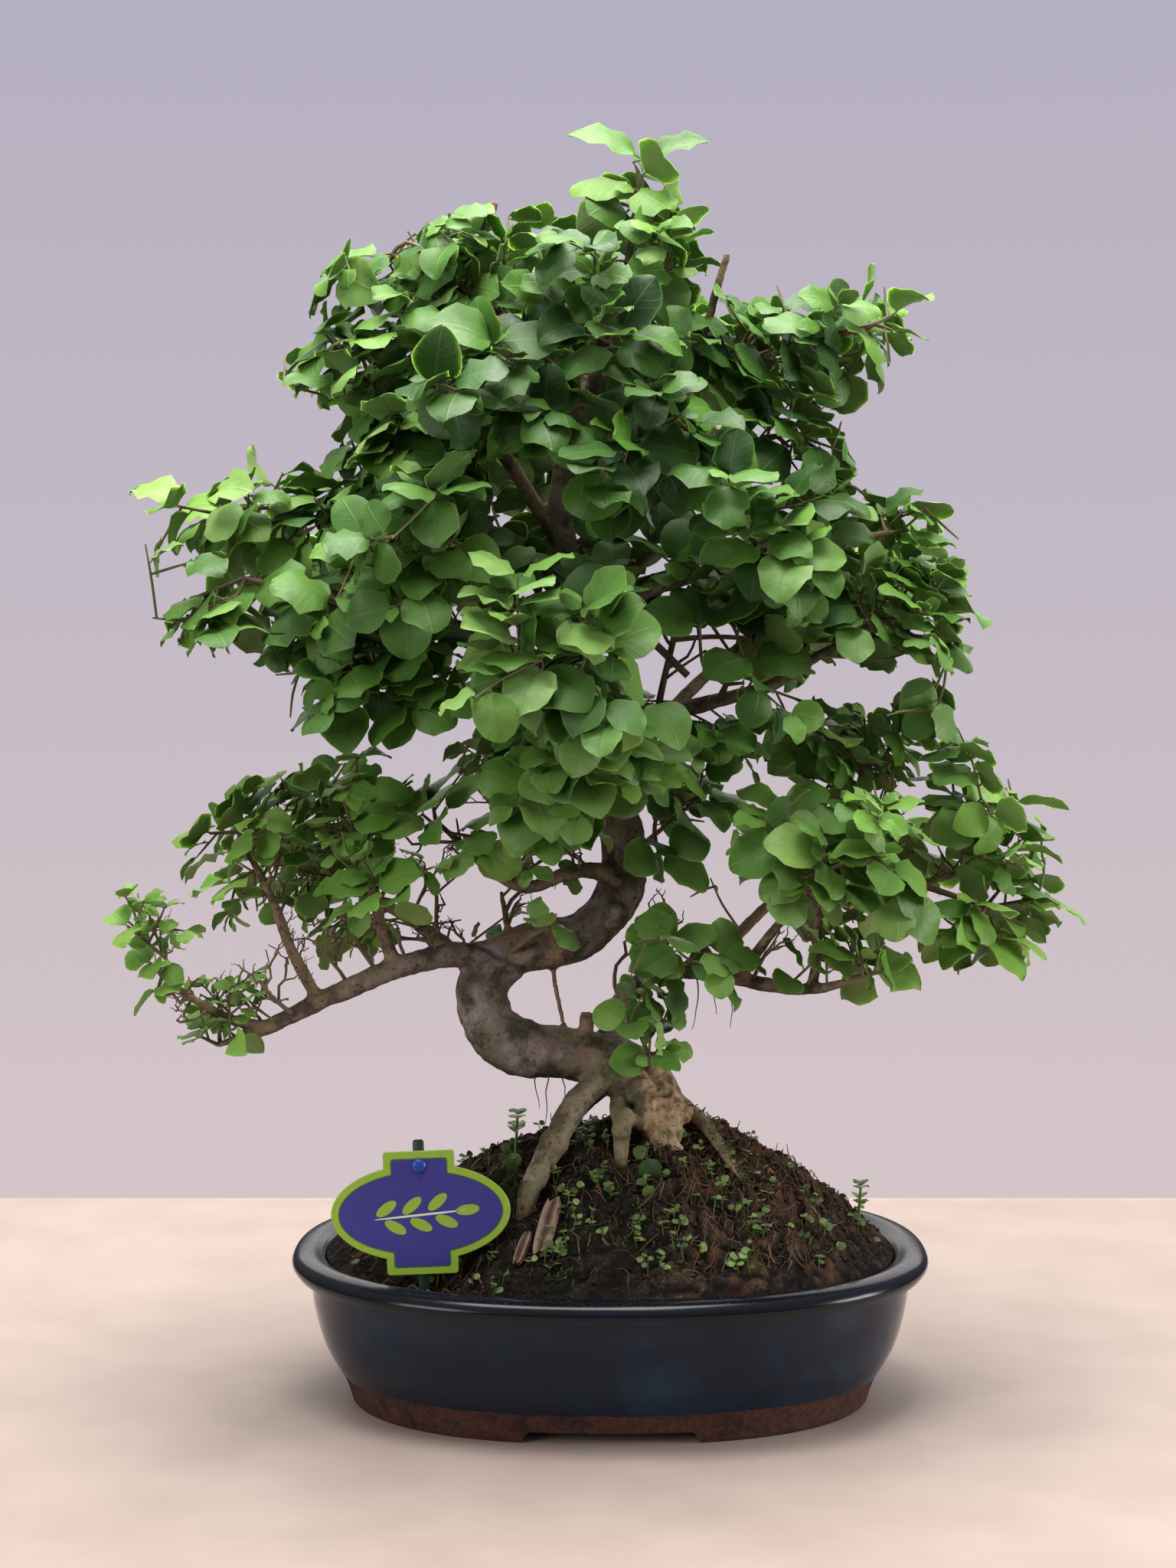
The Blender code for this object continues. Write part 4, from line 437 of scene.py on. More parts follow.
# The finishes
LEAF_GLOW, LEAF_GLOW_DEPTH = 0.45, 0.35  # how much light goes into a leaf, and how deep
SCUFF_SHADE = 0.6  # how light a scuff in plastic is beside the rest
DARKEST_LEAF = 0.2  # of the old leaves that stand in the light, where 1 is the lightest


def at(place, radius):
    """A stop on a path: a place, and the radius of the wood there."""
    return Vector((*place, radius))


def unit(vector):
    return vector.normalized() if vector.length > 1e-6 else Vector(UP)


def middle_of(points):
    return sum(points, Vector()) / len(points)


def angles(sides, shift=0.0):
    """Even steps once round a circle."""
    return [2 * math.pi * (k + shift) / sides for k in range(sides)]


def oval_point(half_width, half_depth, angle, power=2 / OVAL_POWER):
    """A point of an oval between an ellipse and a rectangle, which a smaller power makes squarer."""
    across, along = math.cos(angle), math.sin(angle)
    return (half_width * math.copysign(abs(across) ** power, across),
            half_depth * math.copysign(abs(along) ** power, along))


def jitter(draw, reach=1.0):
    """A random vector whose parts lie between -reach and reach."""
    return Vector([draw.uniform(-reach, reach) for _ in range(3)])


def level_across(heading):
    """The level direction that crosses a heading."""
    return unit(heading.cross(UP) + Vector((0.01, 0, 0)))


def way_round(draw, heading):
    """A random direction square to a heading."""
    way = heading.orthogonal().normalized()
    way.rotate(Matrix.Rotation(draw.uniform(0, 2 * math.pi), 3, heading))
    return way


def skin(rings):
    """A closed skin over rings of equal count, with a cap on the first and the last."""
    count = len(rings[0])
    points = [point for ring in rings for point in ring]
    faces = []
    for start in range(0, len(points) - count, count):
        for k in range(count):
            after = (k + 1) % count
            faces.append((start + k, start + after, start + after + count))
            faces.append((start + k, start + after + count, start + k + count))
    faces.append(tuple(range(count))[::-1])
    faces.append(tuple(range(len(points) - count, len(points))))
    return points, faces


def disc(radius, low, high, x, sides):
    return skin([[(x + radius * math.cos(a), radius * math.sin(a), z) for a in angles(sides)]
                 for z in (low, high)])


def soil_height(x, y):
    """How high the mound's surface stands at a place in the pot."""
    half_width = POT_INSIDE[0][0]
    half_depth = half_width - POT_NARROWER
    span = half_width - SOIL_MIDDLE if x > SOIL_MIDDLE else half_width + SOIL_MIDDLE
    across, along = abs(x - SOIL_MIDDLE) / span, abs(y) / half_depth
    share = min(1.0, (across ** OVAL_POWER + along ** OVAL_POWER) ** (1 / OVAL_POWER))
    height = SOIL_EDGE + SOIL_RISE * (1 - share ** SOIL_POWER) ** SOIL_FULLNESS
    lump = noise.noise(Vector((x, y, 0)) / SOIL_LUMP_SPAN) * min(1.0, 4 * (1 - share))
    hollow_x, hollow_y, depth, radius = LABEL_HOLLOW
    away = ((x - hollow_x) ** 2 + (y - hollow_y) ** 2) / radius ** 2
    dip = depth * math.exp(-1.6 * away)
    return max(SOIL_EDGE, height + lump * SOIL_LUMP_RISE - dip)


def smooth_path(stops, step):
    """Points about step apart on a smooth curve through stops, which hold x, y, z and radius."""
    stops = [Vector(stop) for stop in stops]
    ends = [2 * stops[0] - stops[1]] + stops + [2 * stops[-1] - stops[-2]]
    path = []
    for a, b, c, d in zip(ends, ends[1:], ends[2:], ends[3:]):
        pieces = max(1, round((c - b).length / step))
        for k in range(pieces):
            t = k / pieces
            bend = 2 * a - 5 * b + 4 * c - d
            twist = 3 * b - a - 3 * c + d
            path.append(0.5 * (2 * b + (c - a) * t + bend * t * t + twist * t * t * t))
    path.append(stops[-1])
    return path


def end_heading(path):
    return unit(path[-1].xyz - path[-2].xyz)


def tube(path, sides, grow=0.0, knots=0.0):
    """A closed tube round a path of (x, y, z, radius), grow thicker, with uneven sides."""
    places = [point.xyz for point in path]
    befores, afters = places[:1] + places[:-1], places[1:] + places[-1:]
    headings = [(after - before).normalized() for before, after in zip(befores, afters)]
    side = headings[0].orthogonal().normalized()
    rings = []
    for k, (point, heading) in enumerate(zip(path, headings)):
        side = (side - heading * side.dot(heading)).normalized()
        other = heading.cross(side)
        middle = point.xyz
        if grow and k in (0, len(path) - 1):
            middle = middle + heading * (grow if k else -grow)
        ring = []
        for angle in angles(sides):
            cos, sin = math.cos(angle), math.sin(angle)
            lump = noise.noise(Vector((point.x / 16 + cos, point.y / 16 + sin, point.z / 16))) * knots
            ring.append(middle + (side * cos + other * sin) * (point.w * (1 + lump) + grow))
        rings.append(ring)
    return skin(rings)


def wood_kind(name):
    return name if name == "trunk" else "root" if name in ROOTS else "limb"


def wood_paths(trunk_step, limb_step):
    """The smooth path of the trunk, of each root and of each limb."""
    steps = {"trunk": trunk_step}
    return {name: smooth_path(stops, steps.get(name, limb_step))
            for name, stops in {"trunk": TRUNK, **ROOTS, **LIMBS}.items()}


class Crowd:
    """The solids placed so far, which the next leaf or shoot has to stay clear of."""

    def __init__(self):
        self.large, self.cells = [], {}

    def sphere(self, shape):
        """The middle, radius and points of a shape."""
        points = [Vector(point) for point in shape[0]]
        middle = middle_of(points)
        return middle, max((point - middle).length for point in points), points

    def add(self, shape):
        middle, radius, points = self.sphere(shape)
        member = (middle, radius, BVHTree.FromPolygons(points, shape[1]))
        if radius > CELL:
            self.large.append(member)
        else:
            self.cells.setdefault(tuple(int(c // CELL) for c in middle), []).append(member)

    def near(self, middle, radius):
        """The members whose spheres meet a sphere."""
        reach = radius + CELL
        spans = [range(int((c - reach) // CELL), int((c + reach) // CELL) + 1) for c in middle]
        members = self.large + [m for cell in product(*spans) for m in self.cells.get(cell, ())]
        return [m for m in members if (m[0] - middle).length <= radius + m[1]]

    def holds(self, point):
        """True if the point lies inside one of them."""
        for _, _, tree in self.near(point, 0):
            crossings = 0
            hit = tree.ray_cast(point, UP)[0]
            while hit is not None:
                crossings += 1
                hit = tree.ray_cast(hit + UP * 0.001, UP)[0]
            if crossings % 2:
                return True
        return False

    def blocks(self, shape):
        middle, radius, points = self.sphere(shape)
        members = self.near(middle, radius)
        if not members:
            return False
        tree = BVHTree.FromPolygons(points, shape[1])
        return any(tree.overlap(member[2]) for member in members)

    def takes(self, shape):
        """Adds a shape if it is clear of all the others, and says so."""
        clear = not self.blocks(shape)
        if clear:
            self.add(shape)
        return clear


def blade_sections(base, along, facing, length, width, outline=BLADE_OUTLINE, thick=BLADE_THICK):
    """The cross sections of a leaf that is a little curled. The last one is its tip."""
    side = along.cross(facing).normalized()
    sections = []
    for t, half in outline:
        middle = base + along * t * length + facing * BLADE_CURL * length * (t - 1.6 * t * t)
        lift, across = facing * thick / 2, side * half * width
        if half:
            section = [middle + lift - across, middle + lift + across,
                       middle - lift + across, middle - lift - across]
        else:
            section = [middle + lift, middle - lift]
        sections.append(section)
    return sections


def blade_proxy(base, along, facing, length, width, neck=BLADE_NECK):
    """A closed shell round a leaf, from its neck on, to test what is near."""
    outline = (neck,) + BLADE_OUTLINE
    grow, widen, thick = (1.02, 1.06, 1.5) if neck is BLADE_NECK else FINE_PROXY
    sections = blade_sections(base, along, facing, length * grow, width * widen, outline, thick)
    points = [point for section in sections for point in section]
    last = len(points) - 6  # the first corner of the last section before the tip
    top, bottom = last + 4, last + 5
    faces = [(3, 2, 1, 0), (last, last + 1, top), (last + 2, last + 3, bottom),
             (last + 1, last + 2, bottom, top), (last + 3, last, top, bottom)]
    for start in range(0, last, 4):
        for k in range(4):
            after = (k + 1) % 4
            faces.append((start + k, start + after, start + after + 4, start + k + 4))
    return points, faces


class Growth:
    """A skin out of whose four-sided faces twigs and leaves are pulled."""

    def __init__(self, path):
        self.points = []
        heading = path[1].xyz - path[0].xyz
        side = unit(heading).orthogonal().normalized()
        other = unit(heading).cross(side)
        ways = [side * math.cos(angle) + other * math.sin(angle) for angle in angles(4)]
        self.end = tuple(self.place(path[0].xyz + way * path[0].w) for way in ways)

    def place(self, point):
        self.points.append(point)
        return len(self.points) - 1

    def middle_of(self, face):
        return middle_of([self.points[k] for k in face])

    def normal_of(self, face):
        a, b, c, d = (self.points[k] for k in face)
        return unit((c - a).cross(d - b))

    def pull_tube(self, face, path):
        """Pulls a face out along the rest of a path. Returns the side faces of each stretch."""
        stretches = []
        before = self.middle_of(face)
        for stop in path:
            turn = self.normal_of(face).rotation_difference(unit(stop.xyz - before))
            middle = self.middle_of(face)
            ring = []
            for k in face:
                way = turn @ unit(self.points[k] - middle)
                ring.append(self.place(stop.xyz + way * stop.w))
            sides = []
            for k in range(4):
                after = (k + 1) % 4
                sides.append((face[k], face[after], ring[after], ring[k]))
            stretches.append(sides)
            face, before = tuple(ring), stop.xyz
        self.end = face
        return stretches


def leaf_stance(draw, place, heading, way, spread, light=1.0):
    """Which way a leaf points and faces: off its shoot to one side, and up and out of the crown.

    The more light it gets from above, the flatter it lies.
    """
    lean = math.radians(spread)
    along = unit(heading * math.cos(lean) + way * math.sin(lean) - BLADE_DROOP / light * UP)
    outward = unit(Vector((place.x * 0.5, place.y, 0)))
    facing = light * UP + LEAF_OUTWARD * outward + LEAF_SCATTER * jitter(draw)
    return along, unit(facing - along * facing.dot(along))


def leaves_face(stance, seat, normal):
    """True if the whole neck of the leaf lies in front of the face it grows from."""
    ways = [unit(point - seat) for point in blade_sections(*stance)[0]]
    return min(way.dot(normal) for way in ways) > LEAST_NECK_RISE


def leaf_at(draw, seat, normal, heading, way, length, crowd, tries=LEAF_TRIES, neck=BLADE_NECK,
            light=1.0):
    """A leaf that grows from one side of a twig, turned until it is clear of all else, or None."""
    for attempt in range(tries):
        size = length * draw.uniform(0.92, 1.1) * (1 - 0.012 * attempt)
        width = size * draw.uniform(*BLADE_WIDTHS)
        lean = LEAF_SPREAD + draw.uniform(-0.5, 1) * (8 + attempt)
        twist = heading.cross(way) * draw.uniform(-0.5, 0.5) * (1 + attempt / 8)
        along, facing = leaf_stance(draw, seat, heading, unit(way + twist), lean, light)
        stance = (seat, along, facing, size, width)
        proxy = blade_proxy(*stance, neck)
        low = min(point.z - soil_height(point.x, point.y) for point in proxy[0])
        if low > SOIL_CLEAR and leaves_face(stance, seat, normal) and crowd.takes(proxy):
            return stance
    return None


def shoot_stops(draw, start, heading, tip, length, loose):
    """A shoot from start, which stops short of tip by most of a leaf's length. A long one bends."""
    reach = tip - start
    sway = jitter(draw) * loose
    way = unit(unit(reach) + sway)
    span = max(SHORTEST_SHOOT, reach.length - LEAF_SHARE * length)
    end = start + way * span
    middle = start + (unit(heading) * 0.35 + way * 0.65 - sway) * 0.45 * span
    thick, thin = SHOOT_RADII
    stops = [at(start, thick)]
    if span > STRAIGHT_UNDER or loose > STIFF_UNDER:
        stops.append(at(middle, (thick + thin) / 2))
    node = end - unit(end - stops[-1].xyz) * NODE_LENGTH
    return stops + [at(node, thin), at(end, thin)]


def clear_shoot(draw, start, heading, tip, length, crowd):
    """The first of several such shoots that meets nothing, or None."""
    for attempt in range(SHOOT_TRIES):
        stops = shoot_stops(draw, start, heading, tip, length, SHOOT_LOOSENS * attempt)
        first, second = stops[0], stops[1]
        past_hub = min(0.6, 2 * HUB_RADIUS / (second.xyz - first.xyz).length)
        if crowd.takes(tube([first.lerp(second, past_hub)] + stops[1:], 4, grow=0.5)):
            return stops
    return None


def tips_of(name):
    return [Vector(tip) for tip in SPRAYS[name][2]]


def spray_start(name, paths, ends_taken, crowd):
    """Where a spray's stem leaves its limb, its heading there and how long it is.

    The first spray at a limb's end grows on from the end itself. Any other stands on the limb's
    side, as near as the gap between two pieces allows.
    """
    limb_name, length, _ = SPRAYS[name]
    limb = paths[limb_name]
    middle = middle_of(tips_of(name))
    nearest = min(range(len(limb)), key=lambda k: (limb[k].xyz - middle).length)
    if nearest == len(limb) - 1 and limb_name not in ends_taken:
        ends_taken.add(limb_name)
        heading = end_heading(limb)
        return limb[-1].xyz + heading * GAP, heading, SHORTEST_STEM
    start = limb[min(len(limb) - 2, max(0, nearest - 1))].xyz.copy()
    heading = unit(middle - start)
    buried = True
    while buried:
        start += heading * 0.2
        foot = [at(start, STEM_RADIUS), at(start + heading * 2, STEM_RADIUS)]
        buried = crowd.holds(start) or crowd.blocks(tube(foot, 4, grow=GAP))
    nearest_tip = min((tip - start).length for tip in tips_of(name))
    reach = min(STEM_SHARE * (middle - start).length, nearest_tip - length)
    return start, heading, max(SHORTEST_STEM, reach)


def spray_hub(name, start, heading, reach):
    """The stem of a spray, with a short stretch for each pair of side shoots."""
    nodes = len(SPRAYS[name][2]) // 2
    place = start + heading * reach
    hub = [at(start, STEM_RADIUS), at(place, HUB_RADIUS)]
    for step in ([NODE_LENGTH, NODE_APART] * nodes)[:-1]:
        place = place + heading * step
        hub.append(at(place, HUB_RADIUS))
    return hub


def shoot_seats(growth, hub):
    """The stem's skin, and the middle of the hub behind each face that a shoot may leave from."""
    stretches = growth.pull_tube(growth.end, hub[1:])
    seats = {growth.end: hub[-1].xyz}
    for node in range(1, len(stretches), 2):
        middle = hub[node].xyz.lerp(hub[node + 1].xyz, 0.5)
        seats.update({face: middle for face in stretches[node]})
    return seats


def grow_shoots(name, root, crowd):
    """The skin of a spray and, for each of its shoots, its stops and its last sides."""
    start, heading, reach = root
    length = SPRAYS[name][1]
    tips = sorted(tips_of(name), key=lambda tip: -unit(tip - start).dot(heading))
    hub = spray_hub(name, start, heading, reach)
    growth = Growth(hub)
    seats = shoot_seats(growth, hub)
    draw = random.Random(name)
    grown = {}
    for tip in tips:
        free = [face for face in seats if face not in grown]
        face = max(free, key=lambda f: growth.normal_of(f).dot(unit(tip - seats[f])))
        stops = clear_shoot(draw, seats[face], growth.normal_of(face), tip, length, crowd)
        if stops:
            grown[face] = stops
    return growth, [(stops, growth.pull_tube(face, stops[1:])[-1]) for face, stops in grown.items()]


class Finish:
    """A material, with short ways to add the nodes that vary its colour and relief.

    Colours are given by three display values of 0 to 255, or by four linear ones.
    """

    def __init__(self, name, roughness, specular=0.5):
        self.material = bpy.data.materials.new(name)
        self.material.use_nodes = True
        self.tree = self.material.node_tree
        self.shader = self.tree.nodes["Principled BSDF"]
        self.set("Roughness", roughness)
        self.set("Specular IOR Level", specular)

    def set(self, socket, value):
        self.feed(self.shader.inputs[socket], value)

    def feed(self, socket, value):
        if isinstance(value, bpy.types.NodeSocket):
            self.tree.links.new(value, socket)
        else:
            shown = socket.type == "RGBA" and len(value) == 3
            socket.default_value = shade(*value) if shown else value

    def add(self, kind, inputs=None, **settings):
        node = self.tree.nodes.new("ShaderNode" + kind)
        for key, value in settings.items():
            setattr(node, key, value)
        for key, value in (inputs or {}).items():
            self.feed(node.inputs[key], value)
        return node

    def place(self, axis=None):
        """Where a point lies, in metres, or how far along one axis in millimetres."""
        place = self.add("TexCoord").outputs["Object"]
        if axis is None:
            return place
        return self.times(self.add("SeparateXYZ", {0: place}).outputs[axis], 1 / MM)

    def value(self, name):
        return self.add("Attribute", attribute_name=name).outputs["Fac"]

    def noise(self, size, detail=2.0, rough=0.5, place=None):
        """Clouds of about this size in millimetres."""
        inputs = {"Vector": place or self.place(), "Scale": 1 / (size * MM), "Detail": detail,
                  "Roughness": rough}
        return self.add("TexNoise", inputs).outputs["Fac"]

    def spots(self, size, edge, core):
        """Round spots about this far apart in millimetres, which fade from core out to edge."""
        inputs = {"Vector": self.place(), "Scale": 1 / (size * MM)}
        return self.band(self.add("TexVoronoi", inputs).outputs["Distance"], edge, core)

    def math(self, operation, first, second=0.0):
        return self.add("Math", {0: first, 1: second}, operation=operation).outputs[0]

    def times(self, first, second):
        return self.math("MULTIPLY", first, second)

    def plus(self, first, second):
        return self.math("ADD", first, second)

    def band(self, value, low, high):
        """A smooth rise from 0 to 1 between two values."""
        inputs = {"Value": value, "From Min": low, "From Max": high}
        return self.add("MapRange", inputs, interpolation_type="SMOOTHSTEP").outputs[0]

    def span(self, value, low, high):
        """A share of 0 to 1 spread from low to high."""
        return self.add("MapRange", {"Value": value, "To Min": low, "To Max": high}).outputs[0]

    def mix(self, share, first, second, blend="MIX"):
        inputs = {0: share, 6: first, 7: second}
        return self.add("Mix", inputs, data_type="RGBA", blend_type=blend).outputs[2]

    def stain(self, color, where, strength, tint):
        """A colour with a tint laid over it where the share is high."""
        return self.mix(self.times(where, strength), color, tint)

    def ramp(self, value, *stops):
        node = self.add("ValToRGB", {"Fac": value})
        set_stops(node.color_ramp, stops)
        return node.outputs["Color"]

    def bump(self, height, depth, strength=1.0):
        inputs = {"Height": height, "Distance": depth * MM, "Strength": strength}
        self.set("Normal", self.add("Bump", inputs).outputs["Normal"])


def shade(red, green, blue):
    """A linear colour from display values of 0 to 255."""
    linear = []
    for value in (red / 255, green / 255, blue / 255):
        low = value <= 0.04045
        linear.append(value / 12.92 if low else ((value + 0.055) / 1.055) ** 2.4)
    return (*linear, 1)


def set_stops(ramp, stops):
    """Gives a colour ramp its stops, each a place and a colour in display values."""
    while len(ramp.elements) < len(stops):
        ramp.elements.new(0.5)
    for element, (place, color) in zip(ramp.elements, stops):
        element.position, element.color = place, shade(*color)


def leaf_finish():
    """Glossy green above and paler below, yellower where the leaf is young, with its veins."""
    leaf = Finish("leaf_blade", 0.42, 0.32)
    tone, youth = leaf.value("tone"), leaf.value("youth")
    along, across = leaf.value("along"), leaf.value("across")
    old = leaf.ramp(tone, (0, (16, 34, 15)), (0.35, (67, 112, 48)), (0.75, (114, 159, 75)),
                    (1, (148, 186, 110)))
    young = leaf.ramp(tone, (0, (96, 152, 44)), (1, (146, 190, 80)))
    color = leaf.mix(youth, old, young)
    color = leaf.mix(leaf.span(leaf.noise(5, 3), 0, 0.4), color, (38, 72, 42))
    aside = leaf.math("ABSOLUTE", across)
    midrib = leaf.band(aside, 0.1, 0.02)
    slant = leaf.math("SUBTRACT", leaf.times(along, 7), leaf.times(aside, 1.9))
    ripple = leaf.math("ABSOLUTE", leaf.math("SUBTRACT", leaf.math("FRACT", slant), 0.5))
    veins = leaf.math("MAXIMUM", midrib, leaf.times(leaf.band(ripple, 0.1, 0.02), 0.4))
    color = leaf.stain(color, veins, 0.16, (132, 160, 96))
    color = leaf.stain(color, leaf.value("under"), 0.6, (140, 160, 104))
    leaf.set("Base Color", color)
    leaf.set("Roughness", leaf.span(leaf.noise(3), 0.36, 0.58))
    puff = leaf.plus(leaf.times(leaf.noise(2.2), 0.5), veins)
    leaf.bump(leaf.times(puff, -1), 0.18, 0.7)
    leaf.set("Subsurface Weight", LEAF_GLOW)
    leaf.set("Subsurface Radius", (0.75, 1.0, 0.35))
    leaf.set("Subsurface Scale", LEAF_GLOW_DEPTH * MM)
    return leaf.material


def twig_finish():
    twig = Finish("young_twig", 0.6)
    brown = twig.ramp(twig.noise(9, 3), (0.3, (84, 66, 48)), (0.7, (128, 108, 82)))
    twig.set("Base Color", twig.mix(twig.value("youth"), brown, (112, 128, 60)))
    twig.bump(twig.noise(1.2), 0.2, 0.6)
    return twig.material


def bark_finish():
    """Grey-brown skin with dark patches, green where it stays damp, and a pale burl, with painted shade on
    its undersides.
    """
    bark = Finish("privet_bark", 0.8, 0.3)
    height = bark.place(2)
    color = bark.ramp(bark.noise(22, 5, 0.6), (0.36, (98, 84, 74)), (0.5, (134, 120, 112)),
                      (0.64, (162, 150, 150)))
    color = bark.stain(color, bark.band(height, 225, 300), 0.35, (176, 160, 148))
    color = bark.mix(bark.band(bark.value("girth"), 0.55, 0.15), color, (148, 124, 98))
    color = bark.stain(color, bark.value("root"), 0.55, (146, 130, 100))
    moved = bark.add("Mapping", {0: bark.place(), 1: (0.3, 0.1, 0)}).outputs[0]
    dark = bark.band(bark.noise(17, 6, 0.7, moved), 0.46, 0.6)
    color = bark.stain(color, dark, 0.8, (56, 49, 43))
    color = bark.stain(color, bark.value("scar"), 0.8, (34, 28, 24))
    mossy = bark.plus(bark.band(height, 245, 150), bark.band(height, 222, 262))
    damp = bark.times(mossy, bark.band(bark.noise(15, 4), 0.46, 0.62))
    color = bark.stain(color, damp, 0.55, (88, 96, 62))
    pale = bark.ramp(bark.noise(7, 5, 0.65), (0.36, (92, 72, 50)), (0.5, (156, 132, 98)),
                     (0.64, (190, 168, 132)))
    color = bark.mix(bark.value("burl"), color, pale)
    # painted shade: the wood is darkened where it faces down
    color = bark.stain(color, bark.band(bark.value("under"), 0.25, 0.95), 0.6, (44, 39, 36))
    specks = bark.spots(2.6, 0.2, 0.05)
    color = bark.stain(color, specks, 0.25, (186, 172, 150))
    grain = bark.noise(2.2, 5, 0.75)
    color = bark.mix(bark.band(grain, 0.54, 0.7), color, (70, 60, 52), "MULTIPLY")
    bark.set("Base Color", color)
    bark.set("Roughness", bark.span(bark.noise(4), 0.6, 0.95))
    bark.bump(bark.plus(bark.noise(3.2, 4, 0.6), bark.times(specks, 0.25)), 0.55, 0.9)
    return bark.material


def chip_finish():
    chip = Finish("dead_bark", 0.9, 0.2)
    grain = chip.plus(chip.value("grain"), chip.times(chip.noise(5, 5, 0.65), 0.5))
    chip.set("Base Color", chip.ramp(grain, (0.35, (46, 34, 28)), (0.65, (104, 84, 72)),
                                     (0.95, (150, 126, 110))))
    chip.bump(chip.noise(1.2, 4), 0.6, 1)
    return chip.material


def soil_finish():
    """Dark crumbs with rusty bark shreds on the right and patches of moss, with painted shade in the
    hollows between clods and on the front slope.
    """
    soil = Finish("potting_soil", 0.95, 0.2)
    color = soil.ramp(soil.noise(2, 6, 0.8), (0.36, (18, 15, 14)), (0.5, (54, 45, 37)),
                      (0.6, (96, 82, 66)), (0.7, (136, 120, 98)))
    patches = soil.band(soil.noise(14, 4), 0.42, 0.6)
    rusty = soil.times(soil.band(soil.place(0), 14, 50), patches)
    color = soil.stain(color, rusty, 0.6, (116, 80, 60))
    bits = soil.times(soil.spots(4.2, 0.24, 0.12), soil.band(soil.noise(9, 3), 0.5, 0.6))
    color = soil.stain(color, bits, 0.7, (150, 132, 108))
    color = soil.stain(color, soil.value("moss"), 0.75, (62, 70, 32))
    # painted shade in the hollows between clods
    color = soil.stain(color, soil.value("pit"), 0.9, (14, 12, 11))
    # painted shade: the soil's front slope, left of the middle, is darkened
    front = soil.times(soil.band(soil.place(1), -20, -70), soil.band(soil.place(0), 40, 0))
    soil.set("Base Color", soil.stain(color, front, 0.55, (20, 17, 15)))
    soil.bump(soil.noise(1.1, 5, 0.8), 1.2, 1)
    return soil.material


def glaze_finish():
    """Deep teal glaze, darker on the lip and thin on the rim, whose pale specks are partly dust and partly
    painted sheen, that ends above a bare clay foot.
    """
    pot = Finish("pot_glaze_and_clay", 0.15, 0.3)
    height = pot.place(2)
    glaze = pot.ramp(pot.noise(38, 4, 0.55), (0.3, (8, 15, 30)), (0.5, (10, 25, 44)),
                     (0.75, (16, 44, 62)))
    lip = pot.band(height, 62, 66)
    glaze = pot.stain(glaze, lip, 0.8, (10, 12, 17))
    # pale specks on the rim's top: partly dust and wear, partly painted sheen where the rim catches the
    # light
    dust_and_sheen = pot.times(pot.band(height, 71.5, 73.8), pot.band(pot.noise(1.6, 5, 0.8), 0.55, 0.66))
    glaze = pot.stain(glaze, dust_and_sheen, 0.3, (84, 86, 92))
    clay = pot.ramp(pot.noise(3, 5, 0.7), (0.3, (48, 30, 27)), (0.7, (92, 58, 48)))
    clay = pot.stain(clay, pot.band(pot.noise(11, 5, 0.7), 0.5, 0.62), 0.7, (36, 27, 26))
    bare = pot.band(pot.plus(height, pot.times(pot.noise(16, 3), 5)), 18.2, 17.6)
    pot.set("Base Color", pot.mix(bare, glaze, clay))
    gloss = pot.times(pot.plus(dust_and_sheen, pot.times(lip, 0.2)), 0.35)
    pot.set("Roughness", pot.plus(pot.span(bare, 0.13, 0.85), gloss))
    grit = pot.times(pot.times(pot.noise(0.9, 3), bare), 0.5)
    pot.bump(pot.plus(pot.times(pot.noise(20, 2), 0.6), grit), 0.4, 0.5)
    return pot.material


def plastic_finish(name, color, roughness=0.35):
    """Moulded plastic with faint specks and scuffs, which are darker."""
    plastic = Finish(name, roughness)
    dull = [SCUFF_SHADE * part for part in shade(*color)[:3]] + [1]
    scuffs = plastic.band(plastic.noise(3.5, 6, 0.75), 0.55, 0.75)
    plastic.set("Base Color", plastic.stain(color, scuffs, 0.5, dull))
    plastic.set("Roughness", plastic.span(plastic.noise(6, 3), roughness - 0.1, roughness + 0.2))
    plastic.bump(plastic.noise(0.8), 0.08, 0.5)
    return plastic.material


def plant_finish(name, dark, light, roughness=0.5):
    """The greens of the small growth on the soil, which differ from plant to plant."""
    plant = Finish(name, roughness)
    blend = plant.mix(plant.value("tone"), dark, light)
    plant.set("Base Color", plant.mix(plant.span(plant.noise(1.5), 0, 0.4), blend, dark))
    plant.bump(plant.noise(0.8), 0.1, 0.5)
    return plant.material


def placed(name, data):
    """An object in the scene that holds some data."""
    obj = bpy.data.objects.new(name, data)
    bpy.context.scene.collection.objects.link(obj)
    return obj


def set_values(mesh, key, values):
    mesh.attributes.new(key, "FLOAT", "POINT").data.foreach_set("value", values)


